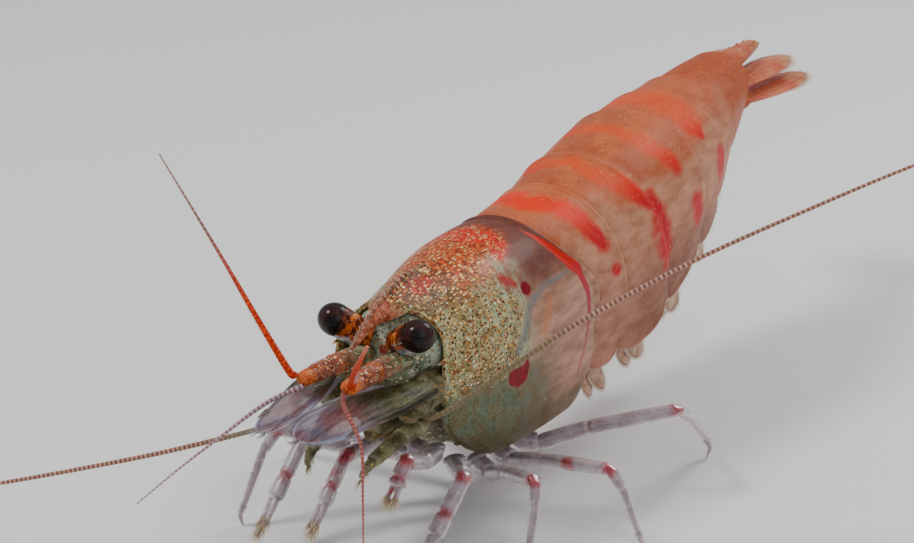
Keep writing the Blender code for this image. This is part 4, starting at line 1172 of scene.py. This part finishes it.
def scalePaint(wire):
    along, around, _ = lay(wire)
    at = place(wire)
    cloud, fine = at.grain(1.6), at.grain(8.0)
    lines = at.stretched((2.2, 0.25, 2.2)).grain(4.0, 3.0).fade(0.4, 0.62)
    end = (along + (cloud - 0.5) * 0.5).fade(0.36, 0.7)
    edge = (around - 0.5).size()
    middle = (along - 0.66 + (cloud - 0.5) * 0.3).size().fade(0.26, 0.06) * edge.fade(0.42, 0.12)
    dots, own = at.specks(5.0, 0.26)
    colour = layered(
        cloud.tint(0.35, 0.65, "46442a", "6e6d4a"),
        (lines * 0.4, "8f8b66"),
        (end * 0.9, at.grain(0.9, 3.0).tint(0.35, 0.65, "72525a", "5c5a78")),
        (middle * 0.45, "a05a48"),
        (lines * end * 0.2, "cfc4c8"),
        (edge.fade(0.4, 0.48) * along.fade(0.55, 0.8) * 0.6, "b4c0da"),
        (edge.fade(0.36, 0.46) * along.fade(0.62, 0.3) * 0.85, "2c281a"),
        (dots * own.fade(0.45, 0.6) * along.fade(0.7, 0.2) * 0.7, "3c2616"),
    )
    alpha = 0.68 + edge.fade(0.3, 0.48) * 0.27 - end * 0.1
    return surface(colour, fine * 0.2 + 0.25, lines * 0.6 + fine, 0.012, {"Alpha": alpha})


def antennaBasePaint(wire):
    at = place(wire)
    cloud, fine = at.grain(2.2), at.grain(9.0)
    dots, own = at.specks(7.0, 0.42)
    colour = layered(
        cloud.tint(0.36, 0.64, "635d42", "8c8468"),
        (lay(wire)[0].fade(0.82, 0.94) * 0.5, "a9a88c"),
        (dots * own.fade(0.2, 0.4) * 0.9, own.tint(0.5, 0.7, "4a1a10", "c08c40")),
    )
    return surface(colour, fine * 0.2 + 0.28, fine + dots * 0.4, 0.025)


def scaleGrids(side, rows=60, columns=33):  # straight ribbed outer edge and round inner one
    along = unit(np.array((-0.2 * side, -1.0, 0.0)))
    across = unit(np.cross(along, (0.25 * side, 0, 1)))
    up = np.cross(across, along)
    outwards = across * np.sign(across[0] * side)
    t = np.linspace(0, 1, rows)[:, None]
    u = np.linspace(-1, 1, columns)[None, :]
    half = 0.5 * scaleBlade["width"]
    tipFall = np.maximum(np.sqrt(np.clip(1 - np.clip((t - 0.72) / 0.28, 0, 1) ** 2, 0, 1)), 0.03)
    outerHalf = half * (0.55 + 0.33 * np.minimum(t / 0.3, 1)) * tipFall
    innerHalf = half * (0.45 + 0.6 * np.sin(np.pi * np.clip(t, 0, 0.75) / 1.3)) * tipFall
    spread = np.where(u > 0, outerHalf, innerHalf) * u
    lift = scaleBlade["bow"] * (1 - u * u) * np.sin(np.pi * (0.15 + 0.8 * t)) - 0.25 * t * t * 0.6
    rib = 0.09 * np.exp(-((u - 0.86) / 0.1) ** 2) * (1 - 0.6 * t)
    rib = rib + 0.05 * np.exp(-((u - 0.1) / 0.12) ** 2) * (1 - t)
    thick = scaleBlade["thick"] * (1 - 0.7 * np.abs(u) ** 4) * (1 - 0.65 * t)
    origin = mirrored(scaleBlade["root"], side)
    flat = origin + outwards * spread[..., None] + along * (scaleBlade["length"] * t)[..., None]
    top = flat + up * (lift + rib + 0.5 * thick)[..., None]
    low = flat + up * (lift - 0.6 * rib - 0.5 * thick)[..., None]
    return (top, low) if np.dot(np.cross(outwards, along), up) < 0 else (low, top), along, outwards


def scaleHairs(blade, along, outwards, side):  # a fringe round the scale's inner edge and end
    hairs = []
    for row in range(12, 60):
        tilt = row / 59
        way = -outwards * (1.2 - tilt) + along * (0.5 + tilt)
        for step in range(4):
            spot = between(blade[row, 0], blade[min(row + 1, 59), 0], step / 4)
            hairs.append((spot, way, 0.34 + 0.12 * chance.random(), (row / 60, 0.25 + 0.22 * side)))
    for column in range(3, 33):
        share = column / 32
        way = along + outwards * (share - 0.5) * 0.8
        for row in (-1, -3, -5, -7) if column > 26 else (-1,):
            spot = (0.9 + 0.08 * abs(share - 0.5), 0.5 + 0.4 * share * side)
            hairs.append((blade[row, column], way, 0.36 + 0.1 * chance.random(), spot))
    return hairs


def makeAntennae():
    baseSkin = finish("antennaBaseSkin", antennaBasePaint, wetShell)
    scaleSkin = finish("antennaScaleSkin", scalePaint, wetShell)
    whipSkin = finish("antennaWhipSkin", whipPaint(0, ("8c6454", "ccb0a0"), True), wetShell)
    fringeSkin = finish("scaleFringeSkin", hairPaint("75645e", "b4acb0"), {**clearHair, "Alpha": 0.5})
    hairs = []
    for name, side in sides.items():
        base = Clay()
        path = through(mirrored(feelerBase["bulb"], side), 30)
        s = np.linspace(0, 1, 30)
        bulb = (0.5 + 0.1 * np.sin(np.pi * s)) * np.sqrt(1 - 0.8 * np.clip((s - 0.72) / 0.28, 0, 1) ** 2)
        sweep(base, path, bulb + 0.035 * np.exp(-((s - 0.7) / 0.06) ** 2), 32, 0.9)
        limb(base, mirrored(feelerBase["joints"], side), feelerBase["radii"], 20, 0.95)
        thorn(base, *mirrored(feelerBase["spine"], side), 0.13)
        dress(f"antenna_base_{name}", base, baseSkin)
        whip = Clay()
        path = through(mirrored(whips[name], side), 400)
        ringedWhip(whip, path, whips["thick"], whips["thin"], power=0.7)
        nodes = (f"antenna_near_{name}", f"antenna_far_{name}")
        toPiece(f"antennaWhip{name.title()}", whip, whipSkin, nodes)
        (outer, inner), along, outwards = scaleGrids(side)
        scale = Clay()
        plate(scale, outer, inner)
        column = outer[:, -3] * 0.5 + inner[:, -3] * 0.5
        thorn(scale, column[40], column[40] + along * 0.62 + outwards * 0.12, 0.09)
        dress(f"antenna_scale_{name}", scale, scaleSkin)
        hairs += scaleHairs((outer + inner) * 0.5, along, outwards, side)
    bristles("scaleFringe", hairs, 0.013, fringeSkin, 0.05)


makeAntennae()
print("second feelers made")


# Legs, jaws and jaw feet
legs = {
    "left": {
        1: (1.0, (1.85, -2.1, 4.15), (1.65, -2.75, 2.95)), 2: (2.3, (3.1, -0.6, 3.3), (2.7, -2.9, 0.9)),
        3: (3.6, (4.8, 1.0, 3.0), (4.9, 0.4)), 4: (4.9, (6.3, 3.3, 2.9), (7.2, 3.7)),
        5: (6.2, (6.0, 8.7, 3.1), (5.4, 12.3)),
    },
    "right": {
        1: (1.0, (0.85, -1.4, 3.55), (1.0, -3.3, 1.5)), 2: (2.3, (3.2, -0.2, 3.3), (3.3, -2.9, 0.8)),
        3: (3.6, (4.6, 0.4, 3.1), (5.2, -0.9)), 4: (4.9, (6.2, 4.2, 3.0), (7.0, 5.2)),
        5: (6.2, (5.8, 9.0, 3.0), (5.6, 12.2)),
    },
    "reds": {
        "left": [((4.58, 3.56, 2.5), 0.6), ((1.72, -2.5, 3.55), 0.3), ((1.7, -2.6, 3.25), 0.3)],
        "right": [((0.85, -1.4, 3.55), 0.75), ((0.95, -1.9, 3.1), 0.45), ((4.4, 3.9, 2.7), 0.5)],
    },
}
hairs, brushes, jawHairs = [], [], []


def legPaint(wire):
    along, around, _ = lay(wire)
    at = place(wire)
    cloud, fine = at.grain(2.0), at.grain(9.0)
    fibres = around * 40.0 + cloud * 6.0
    dots, own = at.specks(4.6, 0.26)
    colour = layered(
        cloud.tint(0.3, 0.7, "a8989e", "cbbfc7"),
        (fibres.maths("SINE", fibres).fade(0.3, 1.0) * 0.2, "e6ddd4"),
        (dots * own.fade(0.5, 0.65) * 0.7, own.tint(0.6, 0.8, "8a5a48", "f4efe4")),
        ((along - 0.5).size().fade(0.44, 0.5) * 0.35, "a56a54"),
        (mark(wire, "red", 0.25, 0.5, 3.0) * 0.92, fine.tint(0.4, 0.6, "9a1430", "c82a48")),
    )
    return surface(colour, fine * 0.2 + 0.2, fine + dots * 0.3, 0.02)


def legHairs(start, end, count, length, lean, row):  # row is the leg's own strip of the hair map
    start, end = np.array(start), np.array(end)
    ahead = unit(end - start)
    side = unit(np.cross(ahead, (0.1, 0.2, 1.0)))
    up = np.cross(side, ahead)
    for _ in range(count):
        share, turn = chance.random(2)
        out = side * math.cos(2 * math.pi * turn) + up * math.sin(2 * math.pi * turn)
        root = start + (end - start) * share + out * 0.09
        way, reach = out + ahead * lean, length * (0.6 + 0.8 * chance.random())
        hairs.append((root, way, reach, (share, (row + turn) / 30)))


def walkingLeg(clay, side, hip, knee, foot, row):
    ankle = np.array([foot[0], foot[1], 0.62])
    toe = np.array([foot[0], foot[1], 0.01])
    margin = float(carapaceSizes(hip)[2])
    top = np.array([1.0, hip, margin - 0.3])
    socket = top + (0.2, 0, -0.3)
    under = np.array([1.9, hip + 0.12 * (knee[1] - hip), margin - 0.76])
    bend = between(under, knee, 0.36) + (0, 0, 0.12)
    wrist = between(knee, ankle, 0.34) + (0.12, 0, 0.16)
    joints = [mirrored(p, side) for p in (top, socket, under, bend, knee, wrist, ankle)]
    radii = ((0.42, 0.4), (0.37, 0.33), (0.31, 0.28), (0.28, 0.24), (0.22, 0.2), (0.18, 0.11))
    limb(clay, joints, radii, 18, 0.85)
    toe = mirrored(toe, side)
    start = joints[-1] + unit(joints[-2] - joints[-1]) * 0.1
    path = through([start, between(joints[-1], toe, 0.5) + (0.1 * side, 0, 0.05), toe], 14)
    sweep(clay, path, 0.1 * (1 - np.linspace(0, 1, 14)) ** 0.7 + 0.03, 12)
    shin, foot = unit(joints[5] - joints[4]), unit(joints[6] - joints[5])
    for share in (0.2, 0.42, 0.64, 0.86):  # small spines
        spot = between(joints[4], joints[5], share)
        thorn(clay, spot - (0, 0, 0.12), spot + shin * 0.12 - (0, 0, 0.28), 0.035)
        spot = between(joints[5], joints[6], share)
        thorn(clay, spot, spot + foot * 0.14 + np.array((0.16 * side, -0.05, -0.02)), 0.03)
    for number in (3, 4, 5):
        legHairs(joints[number], joints[number + 1], 26, 0.16, 0.7, row + number - 3)
    return [joints[4]]


def clawLeg(clay, side, hip, elbow, tip, row):
    margin = float(carapaceSizes(hip)[2])
    top = np.array([1.0, hip, margin - 0.3])
    socket = top + (0.1, -0.05, -0.3)
    upper = between(socket, elbow, 0.5) + (0.12, 0, -0.1)
    wrist, palm = between(elbow, tip, 0.4), between(elbow, tip, 0.64)
    joints = [mirrored(p, side) for p in (top, socket, upper, elbow, wrist, palm)]
    radii = ((0.38, 0.36), (0.33, 0.31), (0.29, 0.28), (0.23, 0.27), (0.27, 0.3))
    limb(clay, joints, radii, 18, 0.85)
    tip = mirrored(tip, side)
    ahead = unit(tip - joints[-1])
    apart = unit(np.cross(ahead, (0.3, 1.0, 0.2)))
    for sign in (1, -1):  # the two fingers
        start, middle = joints[-1] - ahead * 0.1, between(joints[-1], tip, 0.5)
        line = [start + apart * 0.1 * sign, middle + apart * 0.16 * sign, tip + apart * 0.03 * sign]
        path = through(line, 16)
        sweep(clay, path, 0.15 * (1 - 0.75 * np.linspace(0, 1, 16)), 12, 0.8)
        for number in range(70):  # brush of hairs at each finger's end
            share = 0.45 + 0.55 * chance.random()
            spot = path[int(share * 15)]
            out = unit(chance.normal(size=3))
            out = out - ahead * out.dot(ahead)
            way = ahead + out * (0.25 + 0.5 * chance.random())
            lane = (row + number / 70 + sign) / 30 % 1
            brushes.append((spot + out * 0.05, way, 0.28 + 0.3 * chance.random(), (share, lane)))
    for number in (2, 3):
        legHairs(joints[number], joints[number + 1], 22, 0.2, 0.5, row + number - 2)
    return [joints[3], joints[4]]


def makeLegs():
    skin = finish("legSkin", legPaint, clearPart)
    for name, side in sides.items():
        for number in range(1, 6):
            clay = Clay()
            hip, knee, foot = legs[name][number]
            row = 3 * (number - 1) + (15 if side < 0 else 0)
            makeOne = clawLeg if number < 3 else walkingLeg
            lines = [((spot,), 0.5) for spot in makeOne(clay, side, hip, knee, foot, row)]
            lines += [((mirrored(spot, side),), size) for spot, size in legs["reds"][name]]
            marks = {"red": lambda p, lines=lines: strokes(p, lines, False)}
            dress(f"leg_{number}_{name}", clay, skin, marks)


def jawPaint(wire):
    at = place(wire)
    cloud, fine = at.grain(2.2), at.grain(9.0)
    dots, own = at.specks(8.0, 0.4)
    colour = layered(
        cloud.tint(0.36, 0.64, "5c593e", "8a8666"),
        (dots * own.fade(0.35, 0.5) * 0.85, own.tint(0.55, 0.8, "47231b", "d2b878")),
        (lay(wire)[0].fade(0.8, 0.95) * 0.2, "c3bfa6"),
    )
    return surface(colour, fine * 0.2 + 0.28, fine + dots * 0.4, 0.025)


jaws = {  # plates: root, length and width; hairs: the foot's part and their number there
    "plates": (((0.42, -0.35, 5.2), 1.15, 0.62), ((0.28, -0.75, 5.15), 1.05, 0.5),
               ((0.55, -0.15, 4.9), 1.0, 0.6), ((0.16, -1.0, 5.05), 0.9, 0.34)),
    "plateForm": {"base": 0.5, "fullest": 0.5, "bow": -0.1, "thick": 0.12},
    "foot": ((1.25, -0.1, 4.75), (1.42, -0.85, 4.72), (1.4, -1.7, 4.74), (1.12, -2.95, 4.28),
             (1.0, -3.5, 3.92)),
    "radii": ((0.34, 0.33), (0.31, 0.3), (0.27, 0.24), (0.2, 0.07)), "hairs": ((1, 26), (2, 70), (3, 60)),
}


def makeJaws():
    skin = finish("jawSkin", jawPaint, wetShell)
    clay = Clay()
    t = np.linspace(0, 1, 24)
    path = np.stack([0 * t, -0.1 - 1.22 * t, 4.82 - 0.12 * t], -1)
    sweep(clay, path, 0.72 * np.sqrt(np.maximum(1 - 0.95 * t * t, 0.02)) * (0.9 + 0.1 * t), 36, 0.9)
    for side in sides.values():
        along = unit(np.array((-0.12 * side, -0.45, -0.9)))
        across = unit(np.cross(along, (0.35 * side, -1.0, 0.4)))
        for number, (root, length, width) in enumerate(jaws["plates"]):
            axes = mirrored(root, side), across, along, np.cross(across, along)
            size = {"width": width, "length": length, **jaws["plateForm"]}
            leaf(clay, axes, size, 0.03, number + 1.0, 26, 15)
    toPiece("mouthPlates", clay, skin, ("mouthparts",))
    for name, side in sides.items():
        clay = Clay()
        joints = mirrored(jaws["foot"], side)
        limb(clay, joints, jaws["radii"], 18, 0.8, 0.07)
        dress(f"jaw_foot_{name}", clay, skin)
        for first, count in jaws["hairs"]:
            for _ in range(count):
                share = chance.random()
                lean, push = 0.3 * chance.normal(size=2)
                root = between(joints[first], joints[first + 1], share) + (0, 0, -0.15)
                way = (-0.5 * side + lean, -0.5 + push, -1.0)
                spot = ((first - 1 + share) / 3, 0.5 + side * (0.25 + 0.1 * lean))
                jawHairs.append((root, way, 0.22 + 0.22 * chance.random(), spot))


makeLegs()
makeJaws()
for name, gathered, tints, radius, slotName in (
    ("legHairs", hairs, ("8c8178", "d9d3ca"), 0.012, "legs"),
    ("clawBrushes", brushes, ("b07a32", "f0e2bd"), 0.014, "legs"),
    ("jawHairs", jawHairs, ("8d7a4a", "e2d8b4"), 0.013, "underside"),
):
    bristles(name, gathered, radius, finish(name + "Skin", hairPaint(*tints), clearHair))
print("legs and jaws made")


# Swimmerets under the abdomen and the tail fan
swimForm = {"base": 0.4, "fullest": 0.5, "bow": 0.05, "thick": 0.1}
paddleForm = {"base": 0.4, "fullest": 0.62, "bow": 0.12, "thick": 0.16}
fan = {  # telson: share of its length, half-width, height; paddles: out, down, spread, length, width, lane
    "telson": ((0.0, 0.62, 0.42), (0.12, 0.63, 0.42), (0.45, 0.53, 0.34), (0.75, 0.4, 0.28),
               (0.93, 0.3, 0.24), (1.0, 0.2, 0.14)),
    "rise": 0.45, "sideSpines": (0.5, 0.68, 0.84), "endSpines": ((0.85, 0.26), (0.5, 0.42), (0.18, 0.3)),
    "paddles": {"inner": (0.6, -0.32, 7.0, 4.2, 1.45, 0.0), "outer": (0.66, -0.93, 15.0, 4.3, 1.65, 0.4)},
}


def tailFanPaint(wire):
    along, around, _ = lay(wire)
    at = place(wire)
    cloud, fine = at.grain(1.5), at.grain(8.0)
    band = (along + (cloud - 0.5) * 0.2 - 0.6).size().fade(0.16, 0.05)
    dots, own = at.specks(4.6, 0.28)
    edge = (around - 0.5).size().fade(0.36, 0.5)
    ribs = (around * 60.0).maths("SINE", around * 60.0)
    colour = layered(
        cloud.tint(0.34, 0.66, "bf7a50", "dc9e70"),
        (along.fade(0.75, 0.15) * 0.8, fine.tint(0.4, 0.6, "bc4a20", "d66a34")),
        (band * 0.6, "cc4a30"),
        (dots * own.fade(0.4, 0.55) * 0.75, own.tint(0.6, 0.8, "a2301c", "f4dcc0")),
    )
    alpha = 0.88 - edge * 0.25 * along
    return surface(colour, fine * 0.2 + 0.28, fine + ribs * 0.35, 0.02, {"Alpha": alpha})


def swimPaint(wire):
    along = lay(wire)[0]
    at = place(wire)
    cloud, fine = at.grain(2.0), at.grain(9.0)
    dots, own = at.specks(5.0, 0.24)
    colour = layered(
        cloud.tint(0.36, 0.64, "b58a70", "dcb8a0"),
        (along.fade(0.4, 0.0) * 0.5, "b0583c"),
        (dots * own.fade(0.5, 0.65) * 0.7, "9c4632"),
    )
    return surface(colour, fine * 0.2 + 0.26, fine, 0.015, {"Alpha": 0.94 - along * 0.18})


def bladeFringe(blade, first, parts, shortest, wayOf, lanes):  # hairs along both edges of a blade
    hairs = []
    last = len(blade) - 1
    for row in range(first, last + 1):
        for edge, sign in ((0, -1), (1, 1)):
            for part in range(parts):
                spot = between(blade[row], blade[min(row + 1, last)], part / parts)[-edge]
                length = shortest + 0.1 * chance.random()
                hairs.append((spot, wayOf(row, sign), length, (row / (last + 1), lanes[edge])))
    return hairs


def makeSwimmerets():
    skin = finish("swimmeretSkin", swimPaint, wetShell)
    fringe = []
    for number in range(1, 6):
        middle = 0.5 * (borders[number - 1] + borders[number])
        drop, half = (float(np.interp(middle, borders, tail[name])) for name in ("drop", "half"))
        origin, across, along, up = spineFrame(middle)
        for name, side in sides.items():
            root = origin + across * (0.42 * half * side) - up * (0.7 * drop + 0.2)
            hang = unit(-up + 0.42 * along + 0.1 * side * across)
            length = 0.62 * drop + 0.75
            width = 0.24 * tail["lengths"][number - 1] + 0.3
            lane = 2 * number + (side > 0) - 2
            clay = Clay()
            limb(clay, [root + up * 0.3, root + hang * length * 0.42], ((0.3, 0.26),), 16, 0.7)
            for lean, push, share in ((0.28, 0.12, 0.66), (-0.16, -0.1, 0.58)):
                way = unit(hang + along * lean)
                flat = unit(np.cross(way, along))
                broad = unit(np.cross(flat, way))
                axes = root + hang * length * 0.36 + across * push * side, broad, way, flat
                size = {"width": width, "length": length * share, **swimForm}
                top = leaf(clay, axes, size, 0.04, 1.0, 30, 15)
                fringe += bladeFringe(
                    top, 6, 2, 0.2, lambda row, sign: way + broad * sign * (1.1 - row / 34),
                    (lane / 10, (lane + 14 / 16) / 10),
                )
            dress(f"swimmeret_{number}_{name}", clay, skin)
    return fringe


def makeTelson(skin, axes):
    origin, across, along, up = axes
    knots = np.array(fan["telson"])
    t = np.linspace(0, 1, 60)
    wide, tall = (np.interp(t, knots[:, 0], knots[:, i]) for i in (1, 2))
    turn = 2 * np.pi * np.arange(40) / 40
    lift = np.where(np.sin(turn) > 0, 1.0, 0.55) * np.abs(np.sin(turn)) ** 0.85 * np.sign(np.sin(turn))
    lift = lift + -0.14 * np.exp(-(np.cos(turn) / 0.2) ** 2) * (np.sin(turn) > 0)  # a furrow along its back
    spots = origin + along * (tail["telson"] * t)[:, None] + up * (fan["rise"] - 0.3 * t)[:, None]
    loops = spots[:, None] + across * (wide[:, None] * np.cos(turn))[..., None]
    loops = loops + up * (tall[:, None] * lift)[..., None]
    clay = Clay()
    ways = np.stack(np.broadcast_arrays(t[:, None], (turn / (2 * np.pi))[None], 0.0), -1)
    clay.tube(loops, ways, spots[[0, -1]], np.zeros((2, 3)), flip=True)
    for side in sides.values():
        for share in fan["sideSpines"]:
            row = int(share * 59)
            spot = spots[row] + across * wide[row] * 0.6 * side + up * tall[row] * 0.75
            thorn(clay, spot, spot + along * 0.2 + up * 0.06, 0.04)
        for spread, reach in fan["endSpines"]:
            spot = spots[-1] + across * wide[-1] * spread * side
            thorn(clay, spot - along * 0.08, spot + along * reach * 0.7 + across * 0.04 * side, 0.035)
    toPiece("telsonPlate", clay, skin, ("telson",))
    fringe = []
    for number in range(26):
        spot = spots[-1] + across * wide[-1] * (number / 13 - 0.96)
        fringe.append((spot, along + across * (number / 26 - 0.5), 0.26, (0.98, 0.8 + 0.15 * number / 26)))
    return fringe


def makeTailFan():
    skin = finish("tailFanSkin", tailFanPaint, wetShell)
    axes = origin, across, along, up = spineFrame(borders[-1])
    fringe = makeTelson(skin, axes)
    for kind, (out, down, spread, length, width, lane) in fan["paddles"].items():
        for name, side in sides.items():
            angle = math.radians(spread) * side
            heading = along * math.cos(angle) + across * math.sin(angle)
            root = origin + across * (out * side) + up * down + heading * 0.36
            broad = unit(np.cross(heading, up))
            clay = Clay()
            limb(clay, [root - heading * 0.42, root + heading * 0.34], ((0.4, 0.34),), 18, 0.7)
            size = {"width": width, "length": length, **paddleForm}
            top = leaf(clay, (root, broad, heading, up), size, 0.07, 0.0, 70, 35)
            if kind == "outer":
                edge = top[48, 2 if side > 0 else -3]
                thorn(clay, edge, edge + heading * 0.42 + broad * (0.1 if side < 0 else -0.1), 0.06)
            dress(f"uropod_{kind}_{name}", clay, skin)
            first = lane + (0.2 if side > 0 else 0.0)
            fringe += bladeFringe(
                top, 34, 3, 0.3,
                lambda row, sign: heading * (0.5 + row / 60) + broad * sign * (1.5 - row / 62),
                (first, first + 0.16),
            )
    return fringe


def makeTail():
    skin = finish("tailFringeSkin", hairPaint("c28a6a", "ead9c8"), clearHair)
    bristles("swimFringe", makeSwimmerets(), 0.013, skin)
    bristles("tailFringe", makeTailFan(), 0.013, skin)


makeTail()
print("tail made")


# Short hairs on the beak's ridge and along the lower edges of the plates
def edgeHairs(name, lines, step, length, skin):
    hairs = []
    for number, (line, outward) in enumerate(lines):
        reach = steps(line)
        spots = np.arange(0, reach[-1], step)
        roots = onLine(line, reach, spots)
        ways = unit(outward) + 0.2 * chance.normal(size=roots.shape)
        lane = (number + 0.5) / len(lines)
        hairs += [(root, way, (spot / reach[-1], lane)) for root, way, spot in zip(roots, ways, spots)]
    lengths = length * (0.7 + 0.6 * chance.random(len(hairs)))
    hairs = [(root, way, size, spot) for (root, way, spot), size in zip(hairs, lengths)]
    bristles(name, hairs, 0.011, skin)


def makeEdgeHairs():
    pale = finish("edgeHairSkin", hairPaint("c9a27c", "f2e6d2"), clearHair)
    ridge = headOuter[:, headOuter.shape[1] // 2]
    ridge = ridge[ridge[:, 1] < 2.2]
    lines = [(ridge + (x, 0, 0), (0, -0.35, 1.0)) for x in (0.045, -0.045)]
    edgeHairs("ridgeHairs", lines, 0.055, 0.13, pale)
    lines = []
    for outer in tailOuter:
        for column, side in ((0, -1), (-1, 1)):
            lines.append((outer[3:-1, column], (0.12 * side, 0.1, -1.0)))
    edgeHairs("plateHairs", lines, 0.09, 0.16, pale)


makeEdgeHairs()
print("edge hairs made")


# Studio: pale floor, soft lights and the camera
studio = {
    "azimuth": 30.3, "elevation": 19.0, "away": 110.0, "target": (2.27, 0.39, 9.83), "lens": 137.3,
    "world": 0.42, "sky": (0.86, 0.9, 1.0, 1.0), "floorRows": 41, "floorHalf": 500,
    "lights": {  # place, size and power
        "keyLight": ((-70, -50, 130), 46, 0.13), "fillLight": ((90, -40, 60), 90, 0.03),
        "rimLight": ((30, 90, 90), 60, 0.07),
    },
}


def floorPaint(wire):
    fine = place(wire).grain(6.0, 3.0)
    colour = fine.tint(0.3, 0.7, paint("ecebe6", 1.0), paint("f0eeea", 1.0))
    return surface(colour, fine * 0.2 + 0.5, fine, 0.004)


def makeStudio():
    rows = studio["floorRows"]
    spots = np.linspace(-1, 1, rows)
    far = np.sign(spots) * np.abs(spots) ** 2 * studio["floorHalf"]
    x, y = np.meshgrid(far, far, indexing="ij")
    height = -0.02 - 0.02 * (1 + np.sin(x * 0.13) * np.cos(y * 0.11)) * (np.hypot(x, y) > 60)
    mesh = bpy.data.meshes.new("studioFloor")
    points = np.stack([x, y, height], -1).reshape(-1, 3)
    mesh.from_pydata((points * mm).tolist(), [], gridFaces(rows, rows, flip=True).tolist())
    mesh.materials.append(finish("studioFloorSkin", floorPaint, {"IOR": 1.45}))
    newObject("studioFloor", mesh)
    for name, (spot, size, power) in studio["lights"].items():
        light = bpy.data.lights.new(name, "AREA")
        light.energy, light.shape, light.size = power, "DISK", size * mm
        lamp = newObject(name, light)
        lamp.location = home + Vector(spot) * mm
        aim = home - lamp.location + Vector((0, 4, 6)) * mm
        lamp.rotation_euler = aim.to_track_quat("-Z", "Y").to_euler()
    world = bpy.data.worlds.new("studioWorld")
    world.use_nodes = True
    background = world.node_tree.nodes["Background"]
    background.inputs["Color"].default_value = studio["sky"]
    background.inputs["Strength"].default_value = studio["world"]
    bpy.context.scene.world = world


def makeCamera():
    a, e = math.radians(studio["azimuth"]), math.radians(studio["elevation"])
    back = Vector((math.sin(a) * math.cos(e), -math.cos(a) * math.cos(e), math.sin(e)))
    spot = home + (Vector(studio["target"]) + back * studio["away"]) * mm
    lens = bpy.data.cameras.new("mainCamera")
    lens.lens, lens.sensor_width, lens.clip_start = studio["lens"], 36, 0.001
    camera = newObject("mainCamera", lens)
    camera.matrix_world = Matrix.Translation(spot) @ back.to_track_quat("Z", "Y").to_matrix().to_4x4()
    bpy.context.scene.camera = camera


makeStudio()
makeCamera()


print("studio and camera ready")
